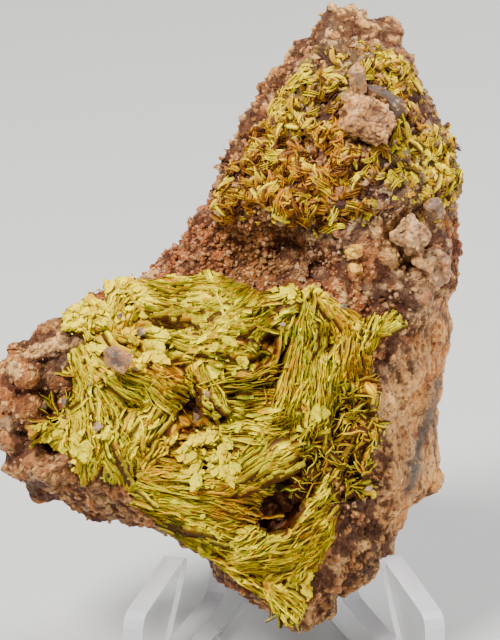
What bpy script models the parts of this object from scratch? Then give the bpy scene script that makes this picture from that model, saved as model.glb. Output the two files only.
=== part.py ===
"""Autunite on a loose lump of quartz-rich rock, standing on a clear acrylic easel.

The stone is modelled in its own frame: x runs to the right, z up the leaning front face and
y into the stone, so that a point at (across, up, out) is at x = across, z = up, y = -out.
An empty leans that frame back and lifts it over the easel. Tables are in millimetres.
"""

import math
import random

import bmesh
import bpy
import numpy as np
from mathutils import Matrix, Vector, geometry, noise
from mathutils.bvhtree import BVHTree

MM = 0.001
GAP = 0.3 * MM                     # air between two pieces that touch
LEAN = math.radians(20.0)          # the stone leans back against the easel
TIP_HEIGHT = 9.0 * MM              # the stone's lower tip hangs this far over the surface

ROCK_STEP = 2.4 * MM               # spacing of the points that the rock's skin is laid out on
ROW_PITCH = 0.87                   # those points stand in staggered rows, this share apart,
JITTER = 0.2                       # shaken by this share of the spacing
RIM_MARGIN = 0.4                   # and keep this share of it away from the outline
ROCK_REACH = 3.1 * MM              # how far one relief point is felt
BACK_REACH = 6.0 * MM
ROCK_ROUNDING = 5.0 * MM           # width of the rolled edge between front and back
RIM_THICKNESS = 0.6 * MM
ROCK_VOXEL = 0.95 * MM
ROCK_FACES = 3100
SMOOTHINGS = 2
LUMP_SIZE = 6.5 * MM               # quartz and feldspar grains that swell the rock's skin
LUMP_HEIGHT = 1.5 * MM
GRAIN_SIZE = 2.6 * MM
GRAIN_HEIGHT = 0.55 * MM
GRAIN_STEEPNESS = 1.6              # how soon a grain is flat on top, going in from its edge
SHELL_LIMIT = 1.6                  # most that a clearance grows at a sharp edge

SLAB_STEP = 4.6 * MM               # spacing of the points of the slab under the fans
SLAB_SWELL = 2.6 * MM              # how far that slab stands over the rock
SLAB_ROOT = 3.5 * MM               # how far it reaches down, before the rock is cut from it
SLAB_EDGE = 2.0 * MM               # width over which it thins out towards its edge
LEAF_SHARE = 0.55                  # part of a leaf's pitch that is plate, the rest is groove
GROOVE_RISE = 0.62                 # height of a groove's floor, as a share of its leaf's height
GROOVE_RUN = 0.86                  # how far a groove runs out, as a share of the book's length
ROOT_DIP = 0.30                    # how much lower a book is at its root
TIP_DIP = 0.28                     # how much lower a book is at its tip
LEAF_HEIGHTS = (0.84, 1.08)        # leaves differ in height and length by these factors
LEAF_LENGTHS = (0.80, 1.06)

CRUST_FACES = 1500                 # faces of the whole coarse skin that the crust is cut from
CRUST_THICKNESS = 1.25 * MM
CRUST_DIP = 1.6 * MM               # that skin runs under the rock outside the crust's edge
CRUST_EDGE = 1.6 * MM
CRUST_PATCHES = 4.0 * MM           # size of the thicker and thinner patches of the crust
CRUST_UNEVENNESS = 0.35
CRUST_LIMIT = 4.0 * MM             # the crust doesn't reach further back than this
SIDEWAYS = 0.15                    # nor onto a face turned this far to the back
BLADE_COUNT = 110
BLADE_LENGTH = (1.9, 3.4)          # millimetres, shortest and longest
BLADE_WIDTH = (0.8, 1.3)
BLADE_HEIGHT = (1.2, 2.4)
BLADE_ROOT = 0.9 * MM
BLADE_TILT = 0.6                   # radians
BLADE_INSET = 1.2 * MM             # blades keep this far in from the crust's edge
AHEAD = 50.0                       # millimetres in front of the stone, where rays start
BLADED_FACES = 2350                # faces of that skin with its blades, before the rock is cut

PLATE = 3.0 * MM                   # thickness of the easel's acrylic
PLATE_SPREAD = math.radians(18.0)  # each plate's angle to the line from front to back
SPINE_X = 4.8 * MM
SPINE_Y = 54.0 * MM
SPINE_RADIUS = 2.4 * MM
SPINE_HEIGHT = 40.0 * MM

# Outline of the rock seen square on, clockwise from the top: (across, up, out).
ROCK_OUTLINE = [
    (12.5, 91.2, -1), (17.1, 90.2, -1), (21.8, 88.2, -2), (22.6, 85.0, -3), (24.8, 82.6, -3),
    (24.8, 80.0, -3), (27.7, 74.2, -3), (29.9, 71.2, -3), (31.5, 66.5, -3), (30.3, 62.2, -3),
    (30.9, 57.1, -4), (30.0, 50.2, -5), (28.9, 48.3, -7), (29.7, 45.6, -11), (29.4, 42.5, -12),
    (28.3, 39.7, -12), (27.7, 33.3, -13), (27.1, 24.0, -13), (26.2, 20.7, -12), (21.8, 16.2, -11),
    (21.3, 12.8, -10), (17.7, 8.8, -8), (13.9, 5.8, -6), (11.0, 2.2, -3), (8.5, 0.1, -2),
    (6.2, 0.4, -2), (3.3, 2.6, -4), (-2.8, 7.2, -7), (-9.9, 12.5, -8), (-14.5, 15.4, -9),
    (-19.4, 16.1, -10), (-24.6, 17.4, -10), (-31.5, 19.9, -9), (-36.2, 23.8, -7),
    (-37.0, 27.4, -4), (-36.8, 32.2, -3), (-35.2, 37.1, -2), (-34.4, 42.2, -2),
    (-30.4, 43.9, -3), (-26.7, 47.0, -3), (-22.3, 49.6, -4), (-16.4, 52.2, -5),
    (-12.6, 55.5, -5), (-7.5, 61.3, -5), (-5.4, 66.6, -5), (-2.8, 71.6, -4), (1.7, 79.2, -4),
    (4.3, 82.9, -3), (9.7, 88.7, -2),
]

# Depth of the front face: (across, up, out).
FRONT_RELIEF = [
    (13.8, 88.3, 4), (18.1, 86.1, 5), (11.6, 83.2, 7), (19.6, 80.3, 8), (7.2, 78.9, 6),
    (13.8, 76.0, 12), (23.9, 76.0, 5), (5.8, 71.6, 9), (14.5, 68.7, 14), (21.8, 68.7, 11),
    (27.5, 68.7, 4), (0.0, 67.3, 6), (7.2, 63.7, 14), (15.9, 61.5, 15), (24.6, 62.2, 9),
    (29.0, 60.8, 2), (-2.6, 62.2, 8), (1.7, 60.8, 12), (10.1, 58.6, 12), (18.8, 55.7, 13),
    (26.1, 54.2, 7), (-6.5, 57.9, 3), (-1.4, 55.5, 2), (3.6, 54.8, 1), (7.5, 54.2, 5),
    (13.0, 52.1, 11), (18.8, 49.9, 13), (25.4, 50.2, 7), (28.3, 51.0, 1), (-11.6, 53.9, 1),
    (-6.5, 52.1, 3), (-20.3, 47.0, 5), (-14.5, 47.0, 6), (-7.2, 45.5, 7), (0.0, 45.5, 8),
    (7.2, 44.1, 9), (13.0, 43.2, 9), (19.3, 44.5, 9), (23.6, 44.1, 4), (28.3, 44.8, -8),
    (-31.9, 40.2, 3), (-33.3, 36.6, 4), (-28.9, 35.1, 1), (-21.8, 38.3, 6), (-14.5, 36.8, 7),
    (-7.2, 35.4, 6), (0.0, 35.4, 8), (8.7, 33.9, 9), (14.5, 33.9, 10), (19.4, 35.4, 8),
    (23.3, 33.9, 0), (26.4, 33.9, -8), (-34.8, 30.3, 3), (-31.9, 27.1, 4), (-27.5, 26.0, 3),
    (-23.2, 26.7, 5), (-15.9, 26.7, 7), (-7.2, 26.7, 8), (1.4, 26.7, 9), (10.1, 25.2, 9),
    (16.2, 25.2, 9), (20.0, 25.2, 4), (23.4, 25.2, -4), (-27.5, 20.9, -4), (-19.8, 19.4, -2),
    (-17.4, 21.4, 4), (-10.1, 19.4, 6), (-2.9, 18.0, 7), (5.8, 18.0, 6), (13.8, 18.0, 8),
    (17.8, 18.0, 4), (21.2, 18.0, -4), (-12.6, 15.2, 0), (-7.2, 12.9, 2), (-1.4, 10.7, 4),
    (4.3, 10.7, 7), (10.1, 10.7, 7), (14.3, 10.7, 3), (17.4, 10.7, -4), (4.3, 4.9, 3),
    (8.7, 4.4, 3), (12.0, 5.7, -1),
]

# Depth of the back face, rougher and flatter: (across, up, out).
BACK_RELIEF = [
    (13.8, 87.6, -8), (18.8, 83.2, -10), (8.7, 80.3, -10), (14.5, 74.5, -14), (24.6, 74.5, -10),
    (2.9, 70.2, -12), (10.1, 64.4, -17), (21.8, 64.4, -16), (29.0, 62.9, -10), (-2.9, 60.0, -12),
    (7.2, 54.2, -20), (18.8, 52.8, -20), (27.5, 52.8, -15), (-11.6, 51.3, -12),
    (-21.8, 44.1, -12), (-7.2, 44.1, -22), (7.2, 42.6, -22), (21.8, 42.6, -21),
    (-31.9, 39.7, -10), (-27.5, 31.0, -14), (-17.4, 33.9, -18), (-4.3, 31.0, -22),
    (10.1, 31.0, -23), (23.2, 31.0, -20), (-33.3, 26.7, -11), (-21.8, 22.3, -15),
    (-10.1, 20.9, -17), (1.4, 19.4, -20), (14.5, 19.4, -19), (21.8, 19.4, -16),
    (-1.4, 10.7, -14), (10.1, 10.7, -15), (7.2, 3.5, -8),
]

# Rounded lumps that stand out of the rock: (across, up, out, radius).
BOULDERS = [
    (-31.8, 38.6, -1.0, 5.6), (-33.0, 31.0, -2.0, 4.8), (-28.6, 26.2, -1.5, 4.6),
    (-30.2, 42.0, -3.0, 3.4), (-25.0, 21.6, -6.0, 3.6), (13.5, 87.8, 0.0, 3.4),
    (19.3, 86.4, 0.5, 3.0), (25.0, 55.2, 4.0, 4.6), (22.2, 49.0, 6.4, 4.0),
    (27.2, 53.0, -1.0, 3.4), (-6.8, 58.6, -1.0, 3.2), (-10.6, 54.2, -3.0, 2.8),
    (26.6, 45.0, -11.5, 3.0), (25.2, 22.8, -12.0, 2.6), (8.4, 50.6, 7.2, 3.0),
    (19.4, 12.4, -9.0, 2.4), (26.5, 71.4, 1.0, 3.2), (7.0, 2.0, -1.5, 2.4),
    (3.0, 76.0, 0.0, 3.2), (-3.0, 9.2, -8.0, 2.4),
]

# Hollows pressed into the rock: (across, up, out, radius, depth).
PITS = [
    (5.8, 54.6, 3.0, 3.2, 1.6), (9.6, 52.8, 8.0, 2.2, 1.4), (24.9, 53.6, 8.0, 1.8, 1.2),
    (-17.6, 24.2, 8.0, 3.0, 1.6), (16.6, 20.8, 8.0, 2.6, 1.3), (18.2, 15.2, 5.0, 2.4, 1.2),
    (13.6, 12.0, 6.0, 2.4, 1.2), (-1.6, 55.4, 2.0, 4.6, 1.2), (22.6, 71.0, 10.0, 2.0, 1.3),
]

# Edge of the big lower mass of autunite: (across, up).
FAN_REGION = [
    (-27.3, 45.9), (-22.0, 50.0), (-16.4, 51.6), (-10.1, 50.6), (-5.5, 52.9), (1.7, 49.4),
    (7.4, 50.4), (12.0, 46.8), (15.6, 43.0), (16.6, 46.6), (20.2, 47.6), (21.4, 44.6),
    (18.0, 40.6), (17.1, 36.0), (18.6, 31.0), (17.2, 23.4), (13.2, 19.4), (12.0, 12.4),
    (8.9, 5.0), (7.0, 1.6), (2.6, 4.2), (-1.4, 8.4), (-7.2, 12.1), (-12.3, 14.7),
    (-16.7, 17.6), (-21.5, 22.8), (-26.8, 23.8), (-30.2, 28.6), (-26.6, 33.0), (-25.0, 38.3),
]

# Books of plates: (root across, root up, heading and fan angle in degrees, length, leaves,
# height over the rock, curl in degrees, half width at the root).
FANS = [
    (8.6, 50.0, -97, 14, 13.5, 6, 6.4, -4, 2.9), (9.0, 40.8, -99, 16, 11.5, 6, 7.2, -8, 3.2),
    (10.8, 48.2, -38, 18, 8.0, 3, 5.0, -20, 1.1), (15.6, 45.2, -104, 26, 7.2, 4, 5.0, 0, 1.3),
    (17.2, 44.6, 40, 70, 4.4, 4, 3.6, 0, 1.0), (6.8, 49.6, 204, 22, 9.6, 5, 5.6, 10, 1.9),
    (-6.2, 52.2, -62, 20, 9.0, 4, 5.2, 6, 1.5), (-15.4, 49.4, -8, 16, 12.0, 5, 5.4, 4, 2.4),
    (-20.4, 45.4, 156, 34, 7.0, 3, 5.0, 0, 2.2), (-18.4, 46.0, 84, 30, 5.6, 3, 5.2, 0, 2.4),
    (-6.6, 34.4, 4, 20, 11.8, 6, 6.6, 4, 2.0), (-7.4, 38.8, -66, 12, 7.0, 3, 7.0, 0, 1.1),
    (-23.6, 37.0, -78, 34, 16.2, 6, 5.6, 8, 1.8), (-12.0, 33.8, -128, 22, 10.0, 5, 6.4, -6, 1.8),
    (-19.8, 37.8, -24, 14, 5.4, 3, 6.6, 0, 1.9), (-14.4, 37.6, -34, 16, 5.8, 3, 6.8, 0, 1.9),
    (-15.6, 21.6, -9, 14, 17.5, 7, 6.4, -6, 2.9), (-3.6, 22.2, 33, 24, 10.8, 5, 7.4, 8, 1.7),
    (-2.2, 11.6, 17, 30, 16.0, 7, 6.6, 18, 2.2), (2.8, 6.6, -48, 34, 6.0, 3, 4.4, 0, 1.4),
    (-6.8, 12.6, -37, 8, 12.5, 2, 4.0, 2, 0.9), (-9.2, 42.6, 9, 16, 9.4, 3, 6.0, -6, 1.9),
    (-25.0, 41.6, -62, 26, 6.6, 3, 5.2, 0, 1.7), (6.0, 27.0, -128, 24, 6.0, 3, 5.4, 0, 1.1),
    (12.6, 30.6, -28, 30, 6.4, 4, 5.4, 0, 1.1), (13.6, 35.8, -14, 22, 4.8, 3, 4.2, 0, 1.1),
    (12.4, 24.4, 22, 26, 5.4, 3, 4.6, 0, 1.1), (16.4, 26.4, 84, 24, 4.6, 3, 3.6, 0, 1.0),
    (15.6, 24.2, -78, 26, 4.6, 3, 4.0, 0, 1.0), (2.4, 22.0, -16, 20, 6.4, 3, 5.2, 0, 1.3),
    (-28.6, 30.4, 208, 40, 4.0, 3, 3.2, 0, 1.2),
]
FAN_SPANS = 2
FAN_FACES = 2700                   # faces of the mass before the rock is cut from it
SMALL_FAN = 7.5                    # a shorter fan is one span long

# Edge of the crust of small blades over the upper rock: (across, up).
CRUST_REGION = [
    (10.2, 86.0), (14.4, 87.0), (20.4, 84.6), (24.0, 80.4), (27.0, 74.8), (30.0, 70.0),
    (30.6, 64.4), (28.0, 58.8), (23.0, 60.2), (17.6, 58.8), (13.2, 57.4), (8.0, 57.6),
    (3.4, 59.8), (-1.0, 58.6), (-5.8, 59.8), (-5.6, 63.2), (-2.6, 67.4), (0.6, 71.6),
    (3.8, 76.4), (6.0, 81.0),
]

# Quartz crystals: name, (across, up, out) of the middle, (width, depth, length),
# turn about the view in degrees, tilt towards the viewer in degrees.
CRYSTALS = [
    ("quartz_crystal_left", (-18.4, 39.8, 12.6), (4.4, 3.6, 5.2), 62, 12),
    ("quartz_crystal_smoky", (19.6, 76.3, 11.6), (3.0, 2.8, 6.9), 58, 6),
    ("quartz_crystal_upper", (15.2, 79.2, 12.6), (2.7, 2.6, 4.6), 8, 22),
    ("quartz_crystal_round", (26.2, 61.2, 8.8), (3.0, 2.6, 3.4), 24, 40),
]
CRYSTAL_SIDES = 6
CRYSTAL_POINT = 0.30               # share of a crystal's length that is its pointed end
POINT_SHIFT = 0.08 * MM            # the point stands a little off the axis

# Chunks of feldspar and pale quartz: name, middle, (width, height, depth), turn, roughness.
CHUNKS = [
    ("feldspar_chunk", (16.4, 73.9, 14.4), (8.2, 6.2, 5.2), -28, 0.16),
    ("quartz_knob_upper", (22.9, 57.6, 12.4), (5.4, 4.6, 4.6), -30, 0.12),
    ("quartz_knob_lower", (26.2, 53.0, 9.6), (4.6, 5.4, 4.2), 24, 0.12),
    ("tan_grain_upper", (14.6, 55.1, 13.4), (2.8, 1.9, 2.0), 8, 0.10),
    ("tan_grain_lower", (14.9, 52.7, 13.0), (2.5, 1.9, 2.0), -6, 0.10),
]
CHUNK_GRAIN = 1.9 * MM
CHUNK_BLOCKINESS = 0.45            # 0 is a ball, 1 is a box
BIG_CHUNK = 4.0                    # a narrower chunk is a small grain with fewer faces
CHUNK_FACES = 100
GRAIN_FACES = 36

# Profile of one easel plate: (forward from the spine, up, corner radius).
PLATE_PROFILE = [
    (0.0, 0.0, 0.0), (69.0, 0.0, 0.0), (69.0, 17.0, 2.0), (47.6, 19.4, 1.2), (60.6, 5.2, 2.0),
    (31.4, 5.2, 3.0), (16.8, 48.0, 2.0), (4.6, 50.6, 3.0), (0.0, 44.0, 1.5),
]
CORNER_STEPS = 2

COLOURS = {                        # base colour, roughness, see-through
    "matrix_rock": ((0.34, 0.20, 0.13), 0.85, 0.0),
    "autunite_fans": ((0.52, 0.50, 0.07), 0.42, 0.0),
    "autunite_crust": ((0.50, 0.36, 0.06), 0.50, 0.0),
    "quartz": ((0.42, 0.34, 0.30), 0.25, 0.0),
    "feldspar": ((0.52, 0.34, 0.22), 0.70, 0.0),
    "acrylic_stand": ((0.93, 0.94, 0.95), 0.08, 0.9),
}


def clear_scene():
    """Removes what the scene holds, so that the script can be run again."""
    for item in list(bpy.data.objects):
        bpy.data.objects.remove(item, do_unlink=True)


def material(name):
    """The named finish, made on its first use."""
    found = bpy.data.materials.get(name)
    if found:
        return found
    colour, roughness, clear = COLOURS[name]
    made = bpy.data.materials.new(name)
    made.use_nodes = True
    shader = made.node_tree.nodes["Principled BSDF"]
    shader.inputs["Base Color"].default_value = (*colour, 1.0)
    shader.inputs["Roughness"].default_value = roughness
    shader.inputs["Transmission Weight"].default_value = clear
    made.diffuse_color = (*colour, 1.0)
    return made


def spot(across, up, out):
    """A point of the stone's frame, from millimetres."""
    return Vector((across, -out, up)) * MM


def new_object(name, mesh, finish=None):
    """An object in the scene around a mesh."""
    made = bpy.data.objects.new(name, mesh)
    bpy.context.scene.collection.objects.link(made)
    if finish:
        mesh.materials.clear()
        mesh.materials.append(material(finish))
    return made


def mesh_from(bm, name):
    """Turns a bmesh into a mesh with its faces pointing out, and frees it."""
    bmesh.ops.recalc_face_normals(bm, faces=bm.faces[:])
    mesh = bpy.data.meshes.new(name)
    bm.to_mesh(mesh)
    bm.free()
    return mesh


def settle(target):
    """Applies an object's modifiers by keeping the mesh that they result in."""
    bpy.context.view_layer.update()
    graph = bpy.context.evaluated_depsgraph_get()
    result = bpy.data.meshes.new_from_object(target.evaluated_get(graph), depsgraph=graph)
    target.modifiers.clear()
    target.data = result


def combine(target, other, operation, solver="EXACT"):
    """Boolean of two closed meshes; the second object is used up."""
    change = target.modifiers.new("combine", "BOOLEAN")
    change.operation = operation
    change.solver = solver
    change.object = other
    settle(target)
    bpy.data.objects.remove(other, do_unlink=True)


def keep_largest(target):
    """Drops every loose crumb but the biggest body, and those that only touch it in a point."""
    bm = bmesh.new()
    bm.from_mesh(target.data)
    bmesh.ops.triangulate(bm, faces=bm.faces[:])
    unseen = set(bm.faces)
    bodies = []
    while unseen:
        stack = [unseen.pop()]
        body = list(stack)
        while stack:
            for edge in stack.pop().edges:
                for face in edge.link_faces:
                    if face in unseen:
                        unseen.remove(face)
                        stack.append(face)
                        body.append(face)
        bodies.append(body)
    bodies.sort(key=len)
    for body in bodies[:-1]:
        bmesh.ops.delete(bm, geom=body, context="FACES")
    bm.to_mesh(target.data)
    bm.free()


def swollen_copy(source, amount):
    """A copy of a closed mesh whose skin is moved outwards by about the given amount."""
    mesh = source.data.copy()
    bm = bmesh.new()
    bm.from_mesh(mesh)
    bm.normal_update()
    moves = []
    for vert in bm.verts:
        moves.append(vert.normal * amount * min(vert.calc_shell_factor(), SHELL_LIMIT))
    for vert, move in zip(bm.verts, moves):
        vert.co += move
    bm.to_mesh(mesh)
    bm.free()
    return new_object(source.name + "_clearance", mesh)


class Outline:
    """A closed outline in the stone's frame with a depth along its edge."""

    def __init__(self, points):
        table = np.array([tuple(point) + (0.0,) * (3 - len(point)) for point in points]) * MM
        self.start = table
        self.end = np.roll(table, -1, axis=0)

    def edge(self, across, up):
        """Distance to the edge, negative outside, and the depth of the nearest edge point."""
        here = np.array((across, up))
        run = self.end[:, :2] - self.start[:, :2]
        share = ((here - self.start[:, :2]) * run).sum(axis=1) / (run ** 2).sum(axis=1)
        share = np.clip(share, 0.0, 1.0)
        nearest = self.start[:, :2] + run * share[:, None]
        distance = np.hypot(*(nearest - here).T)
        index = int(distance.argmin())
        depth = self.start[index, 2] + (self.end[index, 2] - self.start[index, 2]) * share[index]
        return float(distance[index]) * (1.0 if self.holds(across, up) else -1.0), float(depth)

    def holds(self, across, up):
        """Whether the point lies inside."""
        above = (self.start[:, 1] > up) != (self.end[:, 1] > up)
        rise = np.where(above, self.end[:, 1] - self.start[:, 1], 1.0)
        reach = (self.end[:, 0] - self.start[:, 0]) * (up - self.start[:, 1]) / rise
        return bool((above & (across < self.start[:, 0] + reach)).sum() % 2)


class Relief:
    """A smooth depth over the stone's face, from hand-set points."""

    def __init__(self, points, reach):
        self.points = np.array(points) * MM
        self.reach = reach

    def depth(self, across, up):
        """Depth out of the stone's middle plane, in metres."""
        squares = (self.points[:, 0] - across) ** 2 + (self.points[:, 1] - up) ** 2
        weights = np.exp(-squares / (2 * self.reach ** 2)) + 1e-9
        return float((weights * self.points[:, 2]).sum() / weights.sum())


rock_outline = Outline(ROCK_OUTLINE)
front_relief = Relief(FRONT_RELIEF, ROCK_REACH)
back_relief = Relief(BACK_RELIEF, BACK_REACH)


def rock_depth(across, up, relief=front_relief):
    """Depth of the rock's skin, rolled over towards its edge."""
    distance, rim = rock_outline.edge(across, up)
    inward = min(max(distance, 0.0) / ROCK_ROUNDING, 1.0)
    return rim + (relief.depth(across, up) - rim) * math.sqrt(1.0 - (1.0 - inward) ** 2)


def pillow(outline_points, step, front, back, seed):
    """A closed bmesh between two depth functions, within the outline."""
    outline = Outline(outline_points)
    shaker = random.Random(seed)
    corners = [Vector((point[0], point[1])) * MM for point in outline_points]
    low = outline.start.min(axis=0)
    high = outline.start.max(axis=0)
    inner = []
    rows = int((high[1] - low[1]) / (step * ROW_PITCH)) + 1
    columns = int((high[0] - low[0]) / step) + 2
    for row in range(rows):
        for column in range(columns):
            shift = 0.5 * (row % 2) + shaker.uniform(-JITTER, JITTER)
            across = low[0] + (column + shift) * step
            up = low[1] + (row * ROW_PITCH + shaker.uniform(-JITTER, JITTER)) * step
            if outline.edge(across, up)[0] > RIM_MARGIN * step:
                inner.append(Vector((across, up)))
    flat = geometry.delaunay_2d_cdt(
        corners + inner, [], [list(range(len(corners)))], 1, 1e-7)
    bm = bmesh.new()
    fronts = []
    backs = []
    for place in flat[0]:
        out = front(place.x, place.y)
        fronts.append(bm.verts.new((place.x, -out, place.y)))
        low_out = min(back(place.x, place.y), out - RIM_THICKNESS)
        backs.append(bm.verts.new((place.x, -low_out, place.y)))
    sides = {}
    for face in flat[2]:
        bm.faces.new([fronts[index] for index in face])
        bm.faces.new([backs[index] for index in reversed(face)])
        for index, following in zip(face, face[1:] + face[:1]):
            pair = (min(index, following), max(index, following))
            sides[pair] = sides.get(pair, 0) + 1
    for (index, following), uses in sides.items():
        if uses == 1:
            bm.faces.new([fronts[index], fronts[following], backs[following], backs[index]])
    return bm


def voronoi_bump(place, size):
    """A rounded grain pattern, 1 in the middle of a grain and 0 between grains."""
    distances = noise.voronoi(place / size)[0]
    return min(1.0, (distances[1] - distances[0]) * GRAIN_STEEPNESS)


def make_rock():
    """The lump of rock: laid out from its outline, lumps added, then worn and pitted."""
    bm = pillow(ROCK_OUTLINE, ROCK_STEP, rock_depth,
                lambda across, up: rock_depth(across, up, back_relief), seed=3)
    for across, up, out, radius in BOULDERS:
        bmesh.ops.create_icosphere(
            bm, subdivisions=3, radius=radius * MM, matrix=Matrix.Translation(spot(across, up, out)))
    rock = new_object("matrix_rock", mesh_from(bm, "matrix_rock"), "matrix_rock")
    remesh = rock.modifiers.new("skin", "REMESH")
    remesh.mode = "VOXEL"
    remesh.voxel_size = ROCK_VOXEL
    settle(rock)
    bm = bmesh.new()
    bm.from_mesh(rock.data)
    for _ in range(SMOOTHINGS):
        bmesh.ops.smooth_vert(bm, verts=bm.verts[:], factor=0.5, use_axis_x=True,
                              use_axis_y=True, use_axis_z=True)
    bm.normal_update()
    moves = []
    for vert in bm.verts:
        swell = LUMP_HEIGHT * (voronoi_bump(vert.co, LUMP_SIZE) - 0.5)
        swell += GRAIN_HEIGHT * (voronoi_bump(vert.co, GRAIN_SIZE) - 0.5)
        for across, up, out, radius, depth in PITS:
            distance = (vert.co - spot(across, up, out)).length / (radius * MM)
            if distance < 1.0:
                swell -= depth * MM * (1.0 - distance ** 2)
        moves.append(vert.normal * swell)
    for vert, move in zip(bm.verts, moves):
        vert.co += move
    bm.to_mesh(rock.data)
    bm.free()
    thin_out(rock, ROCK_FACES)
    keep_largest(rock)
    return rock


def thin_out(target, faces):
    """Lowers the number of triangles to about the given one."""
    bm = bmesh.new()
    bm.from_mesh(target.data)
    bmesh.ops.triangulate(bm, faces=bm.faces[:])
    bm.to_mesh(target.data)
    bm.free()
    count = len(target.data.polygons)
    if count > faces:
        decimate = target.modifiers.new("thin", "DECIMATE")
        decimate.ratio = faces / count
        settle(target)


def cut_clear(target, neighbours):
    """Cuts the neighbours and their clearance out of a crystal mass.

    The exact solver leaves open edges where many plates cross at a grazing angle.
    """
    for neighbour in neighbours:
        combine(target, swollen_copy(neighbour, GAP), "DIFFERENCE", "MANIFOLD")


def fan_mesh(fan, shaker):
    """One book of plates: a ridged wedge that spreads from its root and bends as it grows."""
    across, up, heading, spread, length, leaves, height, curl, root = fan
    spans = 1 if length < SMALL_FAN else FAN_SPANS
    columns = 3 * leaves - 1
    bm = bmesh.new()
    ridge = [shaker.uniform(*LEAF_HEIGHTS) for _ in range(leaves)]
    reach = [shaker.uniform(*LEAF_LENGTHS) for _ in range(leaves)]
    tops = []
    feet = []
    for section in range(spans + 1):
        share = section / spans
        half = (root + share * length * math.tan(math.radians(spread) / 2)) * MM
        pitch = 2 * half / leaves
        upper = []
        lower = []
        for column in range(columns):
            leaf, part = divmod(column, 3)
            side = (leaf + (1 - LEAF_SHARE) / 2 + min(part, 1) * LEAF_SHARE) * pitch - half
            dip = ROOT_DIP if section == 0 else TIP_DIP * share
            rise = height * ridge[leaf] * (1.0 - dip)
            run = share * length * reach[leaf]
            if part == 2:
                side = (leaf + 1) * pitch - half
                rise *= GROOVE_RISE
                run = share * length * GROOVE_RUN
            turn = math.radians(heading + curl * share)
            middle = Vector((across, up)) * MM + Vector((math.cos(turn), math.sin(turn))) * run * MM
            place = middle + Vector((-math.sin(turn), math.cos(turn))) * side
            depth = rock_depth(place.x, place.y)
            upper.append(bm.verts.new((place.x, -depth - rise * MM, place.y)))
            lower.append(bm.verts.new((place.x, -depth + SLAB_ROOT, place.y)))
        tops.append(upper)
        feet.append(lower)
    for section in range(spans):
        for column in range(columns - 1):
            for rows in (tops, feet):
                corners = [rows[section][column], rows[section][column + 1],
                           rows[section + 1][column + 1], rows[section + 1][column]]
                bm.faces.new(corners if rows is tops else corners[::-1])
        for column in (0, columns - 1):
            bm.faces.new([tops[section][column], tops[section + 1][column],
                          feet[section + 1][column], feet[section][column]])
    for section in (0, spans):
        for column in range(columns - 1):
            bm.faces.new([tops[section][column], tops[section][column + 1],
                          feet[section][column + 1], feet[section][column]])
    return mesh_from(bm, "book")


def make_fans(rock, crystals):
    """The lower mass of autunite: a slab over the rock with books of plates grown out of it."""
    region = Outline(FAN_REGION)

    def outer(across, up):
        inward = min(max(region.edge(across, up)[0], 0.0) / SLAB_EDGE, 1.0)
        return rock_depth(across, up) + SLAB_SWELL * inward - GAP

    bm = pillow(FAN_REGION, SLAB_STEP, outer,
                lambda across, up: rock_depth(across, up) - SLAB_ROOT, seed=8)
    fans = new_object("autunite_fans", mesh_from(bm, "autunite_fans"), "autunite_fans")
    shaker = random.Random(22)
    for fan in FANS:
        book = new_object("book", fan_mesh(fan, shaker))
        combine(fans, book, "UNION", "MANIFOLD")
    thin_out(fans, FAN_FACES)
    cut_clear(fans, [rock] + crystals)
    keep_largest(fans)
    return fans


def blade_mesh(place, normal, shaker):
    """A small chisel-edged blade that stands on the crust."""
    bm = bmesh.new()
    length = shaker.uniform(*BLADE_LENGTH) * MM
    width = shaker.uniform(*BLADE_WIDTH) * MM
    height = shaker.uniform(*BLADE_HEIGHT) * MM
    turn = Matrix.Rotation(shaker.uniform(0, math.pi), 4, "Z")
    tilt = Matrix.Rotation(shaker.uniform(-BLADE_TILT, BLADE_TILT), 4, "X")
    frame = Matrix.Translation(place) @ normal.to_track_quat("Z", "Y").to_matrix().to_4x4()
    frame = frame @ turn @ tilt
    verts = []
    for x, y in ((-0.5, -0.5), (0.5, -0.5), (0.5, 0.5), (-0.5, 0.5)):
        verts.append(bm.verts.new(frame @ Vector((x * length, y * width, -BLADE_ROOT))))
    lean = shaker.uniform(-0.2, 0.2) * width
    verts += [bm.verts.new(frame @ Vector((x * length, lean, height))) for x in (-0.42, 0.36)]
    for face in ((3, 2, 1, 0), (0, 1, 5, 4), (2, 3, 4, 5), (1, 2, 5), (3, 0, 4)):
        bm.faces.new([verts[index] for index in face])
    return mesh_from(bm, "blade")


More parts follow.
